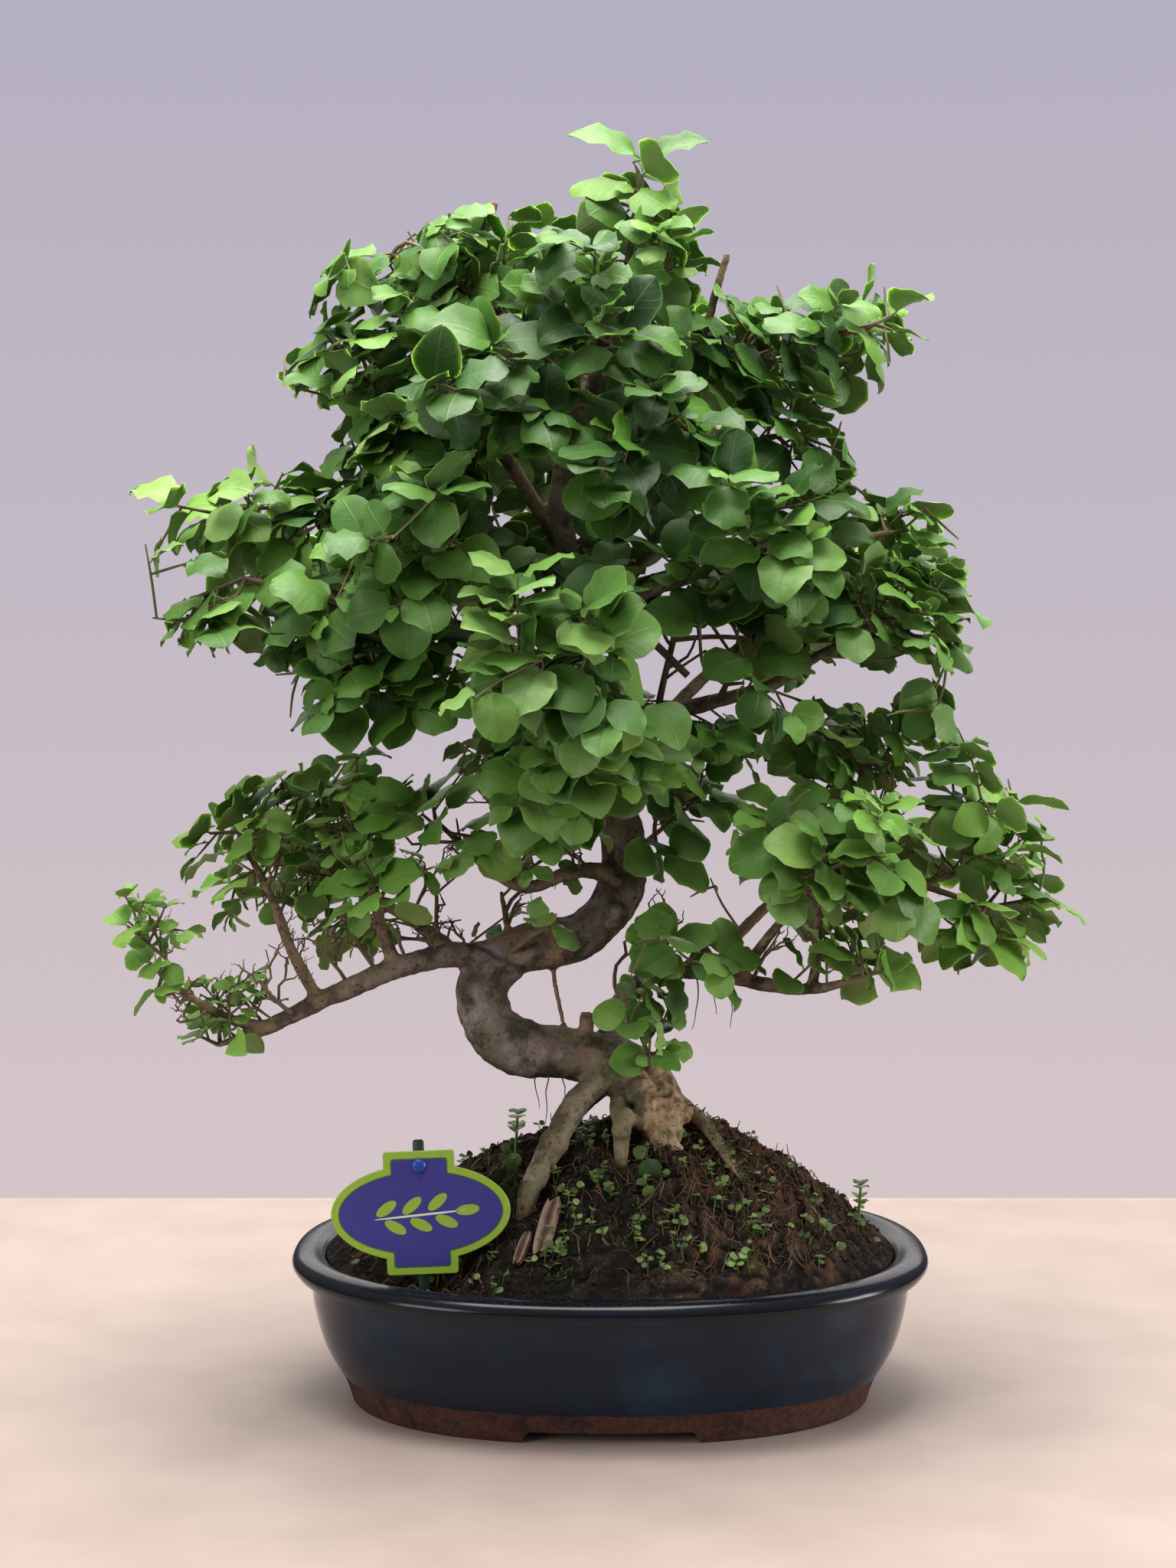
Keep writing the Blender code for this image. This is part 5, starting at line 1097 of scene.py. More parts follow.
class Heap:
    """Points, faces and point values gathered for one mesh, all in millimetres."""

    def __init__(self, *shape, **values):
        self.points, self.faces, self.slots, self.values = [], [], [], []
        self.count = 0
        if shape:
            self.add(*shape, **values)

    def add(self, points, faces, slot=0, **values):
        points = np.array([tuple(point) for point in points], float)
        start = self.count
        self.points.append(points)
        self.faces += [tuple(start + k for k in face) for face in faces]
        self.slots += [slot] * len(faces)
        self.values.append((len(points), values))
        self.count += len(points)

    def value_of(self, key):
        """One value for each point, 0 where a shape has none."""
        parts = []
        for count, values in self.values:
            parts.append(np.broadcast_to(np.asarray(values.get(key, 0.0), float), (count,)))
        return np.concatenate(parts)

    def build(self, name, finishes, crease=60, turn=False):
        mesh = bpy.data.meshes.new(name)
        mesh.from_pydata(np.concatenate(self.points) * MM, [], self.faces)
        if turn:
            turned = bmesh.new()
            turned.from_mesh(mesh)
            bmesh.ops.recalc_face_normals(turned, faces=turned.faces)
            turned.to_mesh(mesh)
            turned.free()
        for finish in finishes:
            mesh.materials.append(finish)
        mesh.polygons.foreach_set("material_index", self.slots)
        for key in sorted({key for _, values in self.values for key in values}):
            set_values(mesh, key, self.value_of(key))
        mesh.shade_smooth()
        mesh.set_sharp_from_angle(angle=math.radians(crease))
        return placed(name, mesh)


def belongs(piece, slot, *nodes):
    """Fixes a piece to the frame and hides the plain solids that it stands for. The slot for its finish is
    not used.
    """
    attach(piece, "root")
    if nodes:
        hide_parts(*nodes)


class LeafForm:
    """The points and faces that all leaves of one fineness share, as a closed lens."""

    def __init__(self, rows, columns):
        along = (1 - np.cos(np.linspace(0, math.pi, rows + 1))) / 2
        across = np.linspace(-1, 1, columns + 1)
        index = {}
        places = []
        for layer, row, column in product((0, 1), range(rows + 1), range(columns + 1)):
            edge = row in (0, rows) or column in (0, columns)
            if layer and edge:
                index[1, row, column] = index[0, row, column]
                continue
            index[layer, row, column] = len(places)
            places.append((along[row], across[column], layer, edge))
        self.along, self.across, self.under, self.edge = np.array(places, float).T
        self.faces = []
        for row, column in product(range(rows), range(columns)):
            corners = ((row, column), (row + 1, column), (row + 1, column + 1), (row, column + 1))
            upper, lower = (tuple(index[(layer, *corner)] for corner in corners) for layer in (0, 1))
            self.faces += [upper, (lower[0], *lower[:0:-1])]
        self.half = np.maximum(0.04, LEAF_FULL * self.along ** LEAF_BASE * (1 - self.along) ** LEAF_TIP)

    def points(self, stance, draw):
        """A leaf in its place, folded, waved and curled in its own way."""
        seat, along, facing, length, width = stance
        side = along.cross(facing).normalized()
        share = STALK_SHARE + (1 - STALK_SHARE) * self.along
        aside = self.half * self.across * width * LEAF_WIDER
        rise = BLADE_CURL * length * (share - 1.6 * share ** 2)
        rise += draw.uniform(*LEAF_FOLD) * np.abs(aside)
        rise -= draw.uniform(*LEAF_ROUND) * aside ** 2 / width
        waves, phase, lag = draw.uniform(*LEAF_WAVES), draw.uniform(0, 6.3), draw.uniform(1, 4)
        ripple = np.sin(6.283 * waves * self.along + phase + lag * (self.across > 0))
        rise += draw.uniform(*LEAF_WAVE_HEIGHT) * length * ripple * self.across ** 2
        rise -= draw.uniform(*LEAF_TIP_DROP) * length * np.clip(self.along - 0.5, 0, 1) ** 2
        rise -= LEAF_THICK * self.under * (1 - self.across ** 2)
        sway = draw.uniform(*LEAF_SWAY) * length * self.along ** 2
        base = np.array(seat)
        return (base + np.outer(share * length, along) + np.outer(rise, facing)
                + np.outer(aside + sway, side))


def heap_leaf(heap, forms, stance, draw, youth, sun):
    """One leaf with its stalk."""
    form = forms[stance[3] < SMALL_LEAF]
    # painted shade: sun darkens the tone of the leaves in overhung sprays
    tone = draw.uniform(DARKEST_LEAF, 1) * sun
    values = {"tone": tone, "youth": youth, "along": form.along, "across": form.across,
              "under": form.under * (1 - form.edge)}
    heap.add(form.points(stance, draw), form.faces, **values)
    seat, along, facing, length, _ = stance
    reach = STALK_SHARE + 0.05
    stops = []
    for share, radius in ((-0.01, 1.2), (0.6 * reach, 1), (reach, 0.8)):
        rise = BLADE_CURL * length * (share - 1.6 * share * share) - 0.1
        stops.append(at(seat + along * share * length + facing * rise, radius * STALK_RADIUS))
    heap.add(*tube(stops, 4), slot=1, youth=0.7)


def from_axis(x, z, share):
    """A place moved to or from the line along which the camera looks, as an x and a height."""
    return CAMERA_AT[0] + (x - CAMERA_AT[0]) * share, CAMERA_AT[2] + (z - CAMERA_AT[2]) * share


def seen_from_front(point):
    """Where a point shows in the plane of the trunk: its x and height there."""
    return from_axis(point.x, point.z, CAMERA_AT[1] / (CAMERA_AT[1] - point.y))


def in_crown(point):
    """True if the point shows inside the crown's outline and not in one of its gaps."""
    if abs(point.y) > CROWN_DEPTH:
        return False
    x, z = seen_from_front(point)
    places = OPEN_PLACES + HOLLOWS if point.y < HOLLOW_FRONT else OPEN_PLACES
    for middle_x, middle_z, half_width, half_height in places:
        if ((x - middle_x) / half_width) ** 2 + ((z - middle_z) / half_height) ** 2 < 1:
            return False
    inside = False
    for (ax, az), (bx, bz) in zip(CROWN_EDGE, CROWN_EDGE[1:] + CROWN_EDGE[:1]):
        if (az > z) != (bz > z) and x < ax + (z - az) * (bx - ax) / (bz - az):
            inside = not inside
    return inside


class Spray:
    """All that grows in one spray: its twigs, and its leaves with how young each is."""

    def __init__(self, name):
        self.name, self.length = name, SPRAYS[name][1]
        self.twigs, self.leaves = [], []
        self.middle = middle_of(tips_of(name))
        self.reach = max((tip - self.middle).length for tip in tips_of(name))
        self.draw = random.Random("fill " + name)
        self.fresh = FRESH_SPRAYS.get(name, 0.0)
        start = next(start for start in LEAFINESS if name.startswith(start))
        self.leafy, self.fine = LEAFINESS[start]

    def light(self, place):
        """How flat leaves lie at a place: flat on top, hanging below."""
        share = (place.z - self.middle.z) / self.reach
        return 1 + 1.6 * min(1.0, share) if share > 0 else 1 / (1 - 0.9 * max(-1.0, share))

    def youth(self, lift=0.0):
        return min(1.0, max(0.0, self.fresh + lift + 0.5 * self.draw.random() ** 3))


def walk(path, spacing, first, last):
    """Places and headings at even steps back from a path's end."""
    lengths = [(b.xyz - a.xyz).length for a, b in zip(path, path[1:])]
    total = sum(lengths)
    found = []
    left = first
    while left < total - last:
        done, k = 0.0, len(lengths) - 1
        while done + lengths[k] < left:
            done += lengths[k]
            k -= 1
        share = 1 - (left - done) / lengths[k]
        found.append((path[k].lerp(path[k + 1], share), unit(path[k + 1].xyz - path[k].xyz)))
        left += spacing
    return found


def add_pair(spray, place, heading, turned, length, youth, crowd):
    """Two leaves on opposite sides of a twig, where there is room."""
    level = level_across(heading)
    if turned:
        level = heading.cross(level)
    light = spray.light(place)
    for side in (1, -1):
        way = level * side
        seat = place.xyz + way * place.w * 0.8
        stance = leaf_at(spray.draw, seat, way, heading, way, length, crowd, FINE_TRIES, FINE_NECK,
                         light)
        if stance and in_crown(stance[0] + stance[1] * stance[3] * LEAF_REACH):
            spray.leaves.append((stance, youth))


def add_bud(spray, place, heading, length, crowd):
    """The two small leaves that are still opening at a twig's end."""
    draw = spray.draw
    level = level_across(heading)
    for side in (1, -1):
        size = length * draw.uniform(*BUD_LEAVES)
        along, facing = leaf_stance(draw, place.xyz, heading, level * side, draw.uniform(16, 40))
        stance = (place.xyz, along, facing, size, size * BUD_WIDTH)
        if in_crown(place.xyz + along * size) and crowd.takes(blade_proxy(*stance, FINE_NECK)):
            spray.leaves.append((stance, spray.youth(0.5)))


def sprout(spray, place, heading, aim, span, crowd):
    """A side shoot with its own leaves, if it finds room inside the crown. Some stay bare."""
    draw = spray.draw
    start = place.xyz + aim * place.w * 0.6
    end = start + aim * span
    if not in_crown(end) or end.z - soil_height(end.x, end.y) < 2 * SOIL_CLEAR:
        return False
    sway = heading.cross(aim) * draw.uniform(-0.12, 0.12) * span
    stops = [at(start, TWIG_RADIUS), at(start.lerp(end, 0.5) + sway, TWIG_RADIUS),
             at(end, TWIG_TIP_RADIUS)]
    clear = at(start + aim * (place.w + 1.4), TWIG_RADIUS)
    if not crowd.takes(tube([clear] + stops[1:], 4, grow=TWIG_CLEAR)):
        return False
    path = smooth_path(stops, TWIG_STEP)
    spray.twigs.append((path, TWIG_YOUTH))
    if draw.random() > spray.leafy:
        return True
    length = spray.length * spray.fine * draw.uniform(*TWIG_LEAVES)
    for number, (stop, along) in enumerate(walk(path, PAIR_SPACING * 0.8, 1.5, 4)):
        youth = spray.youth(0.25 if number == 0 else 0.0)
        add_pair(spray, stop, along, number % 2 == 1, length, youth, crowd)
    add_bud(spray, path[-1], end_heading(path), spray.length, crowd)
    return True


def add_twig(spray, place, heading, lengths, crowd, within):
    """One side shoot in a random direction that stays with its spray."""
    draw = spray.draw
    for _ in range(FINE_TRIES):
        way = way_round(draw, heading)
        lean = math.radians(draw.uniform(32, 72))
        aim = unit(heading * math.cos(lean) + way * math.sin(lean) + 0.25 * UP)
        span = draw.uniform(*lengths)
        near = (place.xyz + aim * span - spray.middle).length < within
        if near and sprout(spray, place, heading, aim, span, crowd):
            return


def add_end_leaves(spray, growth, draw, stops, sides, crowd):
    """The pair of leaves at a shoot's end that the plain solid has too."""
    heading = end_heading(stops)
    level = level_across(heading)
    free = list(sides)
    for side in (1, -1):
        face = max(free, key=lambda f: growth.normal_of(f).dot(level * side))
        normal = growth.normal_of(face)
        way = unit(normal + 0.4 * side * level)
        stance = leaf_at(draw, growth.middle_of(face), normal, heading, way, spray.length, crowd)
        if stance:
            free.remove(face)
            spray.leaves.append((stance, spray.youth(0.3)))


def grow_plain_sprays(paths, crowd):
    """The stems, shoots and leaves of the plain solids, in the same order and by the same draws."""
    ends_taken = set()
    roots = {name: spray_start(name, paths, ends_taken, crowd) for name in SPRAYS}
    for name, (start, heading, reach) in roots.items():
        crowd.add(tube(spray_hub(name, start + heading, heading, reach), 4, grow=0.1))
    grown = {name: grow_shoots(name, roots[name], crowd) for name in SPRAYS}
    sprays = {}
    for name, (growth, shoots) in grown.items():
        spray = sprays[name] = Spray(name)
        start, heading, reach = roots[name]
        sunk = at(start - heading * STEM_SUNK, STEM_RADIUS * 1.25)
        spray.twigs.append(([sunk] + spray_hub(name, start, heading, reach), 0.0))
        for number, (stops, sides) in enumerate(shoots):
            draw = random.Random(f"{name} {number}")
            add_end_leaves(spray, growth, draw, stops, sides, crowd)
            spray.twigs.append((smooth_path(stops, TWIG_STEP), SHOOT_YOUTH))
    return sprays


def fill_spray(spray, crowd):
    """More pairs of leaves along each shoot, then side shoots in what room is left."""
    shoots = spray.twigs[1:]
    for path, _ in shoots:
        for number, (place, heading) in enumerate(walk(path, PAIR_SPACING, 7, 5)):
            if number < MOST_PAIRS:
                length = spray.length * spray.fine * spray.draw.uniform(0.85, 1)
                add_pair(spray, place, heading, number % 2 == 0, length, spray.youth(), crowd)
        add_bud(spray, path[-1], end_heading(path), spray.length, crowd)
    for path, _ in shoots:
        for place, heading in walk(path, TWIG_SPACING, 4, 3):
            add_twig(spray, place, heading, TWIG_LENGTHS, crowd, spray.reach * TWIG_WITHIN)


def nearest_spray(sprays, place):
    return min(sprays.values(), key=lambda spray: (spray.middle - place.xyz).length)


def limb_joints(sprays, paths, spacing):
    """Places on the thinner limbs where a twig may start, each with the spray it belongs to."""
    return [(place, heading, nearest_spray(sprays, place)) for name, path in paths.items()
            for place, heading in walk(path, spacing, 4, 8)
            if name not in BARE_LIMBS and place.w <= SPUR_THICKEST]


def twig_joints(sprays):
    return [(place, heading, spray) for spray in sprays.values()
            for path, _ in spray.twigs[1:] for place, heading in walk(path, 6, 2, 3)]


def add_spurs(sprays, paths, crowd):
    """Short leafy twigs on the thinner limbs."""
    for place, heading, spray in limb_joints(sprays, paths, SPUR_SPACING):
        add_twig(spray, place, heading, SPUR_LENGTHS, crowd, spray.reach * SPUR_WITHIN)


def add_side_twigs(sprays, crowd):
    """Smaller twigs on the ones grown so far, in what room is left."""
    for spray in sprays.values():
        for path, _ in list(spray.twigs[1:]):
            if (path[-1].xyz - path[0].xyz).length < LEAST_TWIG:
                continue
            for place, heading in walk(path, SIDE_SPACING, 3, 4):
                add_twig(spray, place, heading, SIDE_LENGTHS, crowd, spray.reach * SPUR_WITHIN)


def lookup(points):
    tree = KDTree(len(points))
    for number, point in enumerate(points):
        tree.insert(point, number)
    tree.balance()
    return tree


def leaf_middles(sprays):
    return [seat + along * length / 2 for spray in sprays.values()
            for (seat, along, _, length, _), _ in spray.leaves]


def close_view(sprays, limbs, crowd):
    """Twigs into the places where the wall would show through the crown."""
    draw = random.Random("view")
    for _ in range(VIEW_ROUNDS):
        joints = limbs + twig_joints(sprays)
        wood = lookup([(*seen_from_front(place), 0) for place, _, _ in joints])
        leaves = lookup([(*seen_from_front(middle), 0) for middle in leaf_middles(sprays)])
        for column, row in product(range(*VIEW_COLUMNS, VIEW_STEP), range(*VIEW_ROWS, VIEW_STEP)):
            x, z = column + draw.uniform(-3, 3), row + draw.uniform(-3, 3)
            empty = VIEW_EMPTY if z > VIEW_LOW else VIEW_EMPTY_LOW
            spot = Vector((x, z, 0))
            if not in_crown(Vector((x, 0, z))) or leaves.find(spot)[2] < empty:
                continue
            _, number, _ = draw.choice(wood.find_n(spot, 8))
            place, heading, owner = joints[number]
            depth = place.y + draw.uniform(-14, 14)
            target_x, target_z = from_axis(x, z, 1 - depth / CAMERA_AT[1])
            reach = Vector((target_x, depth, target_z)) - place.xyz
            if VIEW_TWIGS[0] < reach.length < VIEW_TWIGS[1]:
                sprout(owner, place, heading, unit(reach), reach.length + 5, crowd)


def fill_gaps(sprays, limbs, crowd):
    """Twigs toward the empty places that are left inside the crown, as shoots grow to the light."""
    draw = random.Random("gaps")
    for _ in range(GAP_ROUNDS):
        joints = limbs + twig_joints(sprays)
        wood = lookup([place.xyz for place, _, _ in joints])
        leaves = lookup(leaf_middles(sprays))
        for _ in range(GAP_TARGETS):
            near, far = draw.sample(list(sprays.values()), 2)
            sway = Vector([draw.gauss(0, GAP_SPREAD) for _ in range(3)])
            target = near.middle.lerp(far.middle, draw.random()) + sway
            apart = (near.middle - far.middle).length > GAP_PARTNERS
            if apart or not in_crown(target) or leaves.find(target)[2] < GAP_EMPTY:
                continue
            _, number, span = wood.find(target)
            place, heading, owner = joints[number]
            aim = unit(target - place.xyz)
            if GAP_TWIGS[0] < span < GAP_TWIGS[1] and aim.dot(heading) > -0.3:
                sprout(owner, place, heading, aim, span, crowd)


def bare_fork(heap, draw, place, heading, span, crowd, forks):
    """A leafless twig with smaller ones on it, where it meets nothing."""
    for _ in range(FINE_TRIES):
        aim = unit(0.5 * heading + way_round(draw, heading) + 0.5 * UP)
        start = place.xyz + aim * place.w * 0.6
        radius = min(place.w * 0.75, 0.42 + 0.026 * span)
        end = start + aim * span
        stops = [at(start, radius)]
        for share in (0.3, 0.55, 0.8):
            bend = jitter(draw) * 0.11 * span
            stops.append(at(start.lerp(end, share) + bend, radius * (1 - 0.35 * share)))
        stops.append(at(end, radius * 0.6))
        clear = at(start + aim * (place.w + 1), radius)
        if not (in_crown(end) and crowd.takes(tube([clear] + stops[1:], 4, grow=0.2))):
            continue
        path = smooth_path(stops, TWIG_STEP)
        heap.add(*tube(path, 5))
        if forks:
            for stop, along in walk(path, 0.32 * span, 1, 0.2 * span):
                bare_fork(heap, draw, stop, along, span * draw.uniform(0.35, 0.65), crowd, forks - 1)
        return


def add_top_pair(spray):
    """The two long leaves on the end of the highest twig."""
    path = max((path for path, _ in spray.twigs), key=lambda path: path[-1].z)
    bud = Vector(TOP_BUD)
    spray.twigs.append(([path[-1], at(bud, TWIG_TIP_RADIUS)], TOP_LEAF_YOUTH))
    for tip in TOP_LEAVES:
        reach = Vector(tip) - bud
        along = unit(reach)
        facing = Vector((0, -0.8, 1))
        facing = unit(facing - along * along.dot(facing))
        stance = (bud, along, facing, reach.length, reach.length * TOP_LEAF_WIDTH)
        spray.leaves.append((stance, TOP_LEAF_YOUTH))


def make_bare_twigs(paths, crowd):
    """Twigs that have lost their leaves, and the fan of them that shows in the crown's gap."""
    heap = Heap()
    for stops in WINDOW_TWIGS:
        heap.add(*tube(smooth_path(stops, TWIG_STEP), 8))
    draw = random.Random("bare twigs")
    for name, spacing in TWIGGY_LIMBS:
        for place, heading in walk(paths[name], spacing, 3, 4):
            bare_fork(heap, draw, place, heading, draw.uniform(*BARE_LENGTHS), crowd, 2)
    belongs(heap.build("bare_twigs", (twig_finish(),)), "bark")


def make_sprays(paths, crowd):
    leaf, twig = leaf_finish(), twig_finish()
    forms = (LeafForm(LEAF_ROWS, LEAF_COLUMNS), LeafForm(SMALL_ROWS, SMALL_COLUMNS))
    sprays = grow_plain_sprays(paths, crowd)
    for stops in WINDOW_TWIGS:
        crowd.add(tube([Vector(stop) for stop in stops], 4, grow=TWIG_CLEAR))
    for spray in sprays.values():
        fill_spray(spray, crowd)
    add_spurs(sprays, paths, crowd)
    add_side_twigs(sprays, crowd)
    limbs = limb_joints(sprays, paths, JOINT_SPACING)
    close_view(sprays, limbs, crowd)
    fill_gaps(sprays, limbs, crowd)
    make_bare_twigs(paths, crowd)
    add_top_pair(sprays["apex"])
    count = 0
    for spray in sprays.values():
        heap = Heap()
        for stance, youth in spray.leaves:
            heap_leaf(heap, forms, stance, spray.draw, youth, SHADED.get(spray.name, 1))
        for path, youth in spray.twigs:
            heap.add(*tube(path, TWIG_SIDES), slot=1, youth=youth)
        count += len(spray.leaves)
        belongs(heap.build("leaves_" + spray.name, (leaf, twig)), "leaf", "spray_" + spray.name)
    print("leaves:", count)


def raw_wood(paths):
    """The trunk, roots, limbs and knobs as tubes and balls that overlap."""
    heap = Heap()
    for name, path in paths.items():
        kind = wood_kind(name)
        heap.add(*tube(path, WOOD_SIDES[kind], knots=WOOD_KNOTS[kind]))
    heap.add(*tube(smooth_path(SURFACE_ROOT, LIMB_FINE_STEP), 12, knots=WOOD_KNOTS["root"]))
    for x, y, z, radius in KNOBS:
        heap.add(*ball(Vector((x, y, z)), radius, 14, 9))
    return heap.build("wood_fine", ())


def ball(middle, radius, sides, rows, squash=1.0):
    """A round lump, which may be flattened."""
    rings = []
    for row in range(1, rows):
        turn = math.pi * row / rows
        wide, high = radius * math.sin(turn), -radius * squash * math.cos(turn)
        rings.append([middle + Vector((wide * math.cos(angle), wide * math.sin(angle), high))
                      for angle in angles(sides)])
    return skin(rings)


def evaluated_mesh(obj):
    bpy.context.view_layer.update()
    return bpy.data.meshes.new_from_object(obj.evaluated_get(bpy.context.evaluated_depsgraph_get()))


def vertex_array(mesh, key):
    values = np.empty(len(mesh.vertices) * 3)
    mesh.vertices.foreach_get(key, values)
    return values.reshape(-1, 3)


def smooth_wood(paths):
    """The raw wood grown into one smooth skin."""
    wood = raw_wood(paths)
    remesh = wood.modifiers.new("Skin", "REMESH")
    remesh.mode, remesh.voxel_size = "VOXEL", WOOD_VOXEL * MM
    smooth = wood.modifiers.new("Smooth", "SMOOTH")
    smooth.factor, smooth.iterations = 0.5, 3
    wood.data = evaluated_mesh(wood)
    wood.modifiers.clear()
    return wood


def scar_share(place):
    """How deep a place lies in the groove of a scar, from 0 to 1."""
    deepest = 0
    for middle, heading, reach in SCARS:
        away = place - Vector(middle)
        off = abs(away.dot(unit(Vector(heading))) + 1.2 * noise.noise(place / 6))
        if away.length < reach and off < SCAR_HALF_WIDTH:
            deepest = max(deepest, 1 - off / SCAR_HALF_WIDTH)
    return deepest


def relief(place, bumps):
    """How far a surface with such bumps stands out at a place."""
    return sum(height * noise.noise(place / size) for height, size in bumps)


def make_wood():
    """Trunk, roots and limbs as one skin, with the relief of the bark."""
    paths = wood_paths(TRUNK_FINE_STEP, LIMB_FINE_STEP)
    wood = smooth_wood(paths)
    mesh = wood.data
    stops = [(stop.w, name == "root_burl", name in ROOTS)
             for name, path in paths.items() for stop in path]
    tree = lookup([stop.xyz for path in paths.values() for stop in path])
    points, normals = vertex_array(mesh, "co"), vertex_array(mesh, "normal")
    girth, burl, root, scar, under = (np.zeros(len(points)) for _ in range(5))
    for k, (point, normal) in enumerate(zip(points, normals)):
        place = Vector(point / MM)
        radius, burl[k], root[k] = stops[tree.find(place)[1]]
        # under is how far a point faces down, which the bark darkens as painted shade
        girth[k], under[k], scar[k] = min(1, radius / 14), max(0, -normal[2]), scar_share(place)
        rise = relief(place, BARK_BUMPS) + relief(place, BURL_BUMPS) * burl[k] - SCAR_DEPTH * scar[k]
        points[k] += normal * rise * min(1.0, radius / 7) * MM
    mesh.vertices.foreach_set("co", points.ravel())
    mesh.materials.clear()
    mesh.materials.append(bark_finish())
    for key, values in (("girth", girth), ("burl", burl), ("root", root), ("scar", scar),
                        ("under", under)):
        set_values(mesh, key, values)
    mesh.shade_smooth()
    mesh.update()
    belongs(wood, "bark", "wood")


def make_hair_roots():
    """Thin roots that hang from the limbs and the trunk."""
    draw = random.Random("hair roots")
    heap = Heap()
    for x, y, z, length, lean in HAIR_ROOTS:
        place = Vector((x, y, z))
        way = Vector((lean, draw.uniform(-0.2, 0.1), -1)).normalized()
        stops = []
        for number in range(6):
            stops.append(at(place, HAIR_RADIUS * (1 - 0.12 * number)))
            place = place + (way + jitter(draw) * 0.25).normalized() * length / 5
        heap.add(*tube(smooth_path(stops, 3), 5))
    belongs(heap.build("hair_roots", (twig_finish(),)), "bark")


def fine_oval(half_width, height, sides=POT_FINE_SIDES):
    """A ring of the pot's plan."""
    half_depth = half_width - POT_NARROWER
    return [Vector((*oval_point(half_width, half_depth, angle), height)) for angle in angles(sides, 0.5)]


def profile_curve(steps, step):
    """A smooth line through (half width, height) steps."""
    path = smooth_path([(width, 0, height, 1) for width, height in steps], step)
    return [(point.x, point.z) for point in path]


def cut(obj, cutters):
    """Takes the cutters' shapes out of an object."""
    group = bpy.data.collections.new("cutters")
    for cutter in cutters:
        bpy.context.scene.collection.objects.unlink(cutter)
        group.objects.link(cutter)
    change = obj.modifiers.new("Cut", "BOOLEAN")
    change.operation, change.operand_type, change.collection = "DIFFERENCE", "COLLECTION", group
    change.solver = "EXACT"
    obj.data = evaluated_mesh(obj)
    obj.modifiers.clear()
    for cutter in cutters:
        bpy.data.objects.remove(cutter, do_unlink=True)
    bpy.data.collections.remove(group)


def pot_profile():
    foot = [(126.4, 0.1), (127, 0.7), *POT_OUTSIDE[1:]]
    outside = profile_curve(foot, 2.4)
    bare = [(width - GLAZE_THICK, height) for width, height in outside if height < GLAZE_END]
    glazed = [point for point in outside if point[1] >= GLAZE_END]
    lip = profile_curve(POT_LIP, 0.9)
    inside = profile_curve(((137.9, 69), *POT_INSIDE), 8)
    return bare + glazed + lip + inside


def make_pot():
    """The pot's skin, from which the recess under it, the slot and the drain holes are cut."""
    finish = glaze_finish()
    rings = [fine_oval(*step) for step in pot_profile()]
    pot = Heap(*skin(rings)).build("pot_fine", (finish,), crease=50)
    half, deep = POT_OUTSIDE[0][0] - FOOT_WIDTH, POT_OUTSIDE[-1][0]
    recess = [fine_oval(half, -1), fine_oval(half + 1, FOOT_HEIGHT - 1), fine_oval(half, FOOT_HEIGHT)]
    slot = []
    for z, width in ((-1, SLOT_BOTTOM + 1), (FOOT_HEIGHT - 1.2, SLOT_TOP + 0.6),
                     (FOOT_HEIGHT, SLOT_TOP - 2)):
        corners = ((-1, -1), (1, -1), (1, 1), (-1, 1))
        slot.append([(x * width / 2, y * deep, z) for x, y in corners])
    drains = [disc(DRAIN_RADIUS, 0, POT_FLOOR + 1, x, 32) for x in (-DRAIN_X, DRAIN_X)]
    cut(pot, [Heap(*shape).build("cutter", (finish,), turn=True)
              for shape in (skin(recess), skin(slot), *drains)])
    pot.data.set_sharp_from_angle(angle=math.radians(40))
    belongs(pot, "glazed_clay", "pot")


def soil_top(x, y):
    """The mound's height with its clods and crumbs."""
    grain = GRAIN_HEIGHT * noise.noise(Vector((x, y, 0)) / GRAIN_SIZE)
    return soil_height(x, y) + clods(x, y) + grain


def on_mound(x, y, lift):
    """A point so far above the soil's surface."""
    return Vector((x, y, soil_top(x, y) + lift))


def clods(x, y):
    """How far the soil is lifted there: round lumps with creases between them."""
    place = Vector((x, y, 0))
    return sum(height * abs(noise.noise(place / size)) for height, size in CLODS) - CLODS_LOW


def moss_share(x, y):
    """How mossy the soil is at a place, from 0 to 1."""
    clouds = noise.noise(Vector((x, y, 40)) / 26) + 0.5 * noise.noise(Vector((x, y, 9)) / 9)
    near = math.exp(-((x - MOSS_AT[0]) ** 2 + (y - MOSS_AT[1]) ** 2) / MOSS_REACH ** 2)
    return min(1.0, max(0.0, 1.6 * (clouds + 0.5 * near - 0.12)))


def on_soil(x, y):
    across, along = abs(x) / LITTER_HALF_WIDTH, abs(y) / LITTER_HALF_DEPTH
    return across ** OVAL_POWER + along ** OVAL_POWER < 0.95


def soil_place(draw, most=0.97):
    """A random place on the soil."""
    share = math.sqrt(draw.uniform(0, most ** 2))
    half_width = POT_INSIDE[0][0]
    x, y = oval_point(half_width, half_width - POT_NARROWER, draw.uniform(0, 2 * math.pi))
    return x * share, y * share


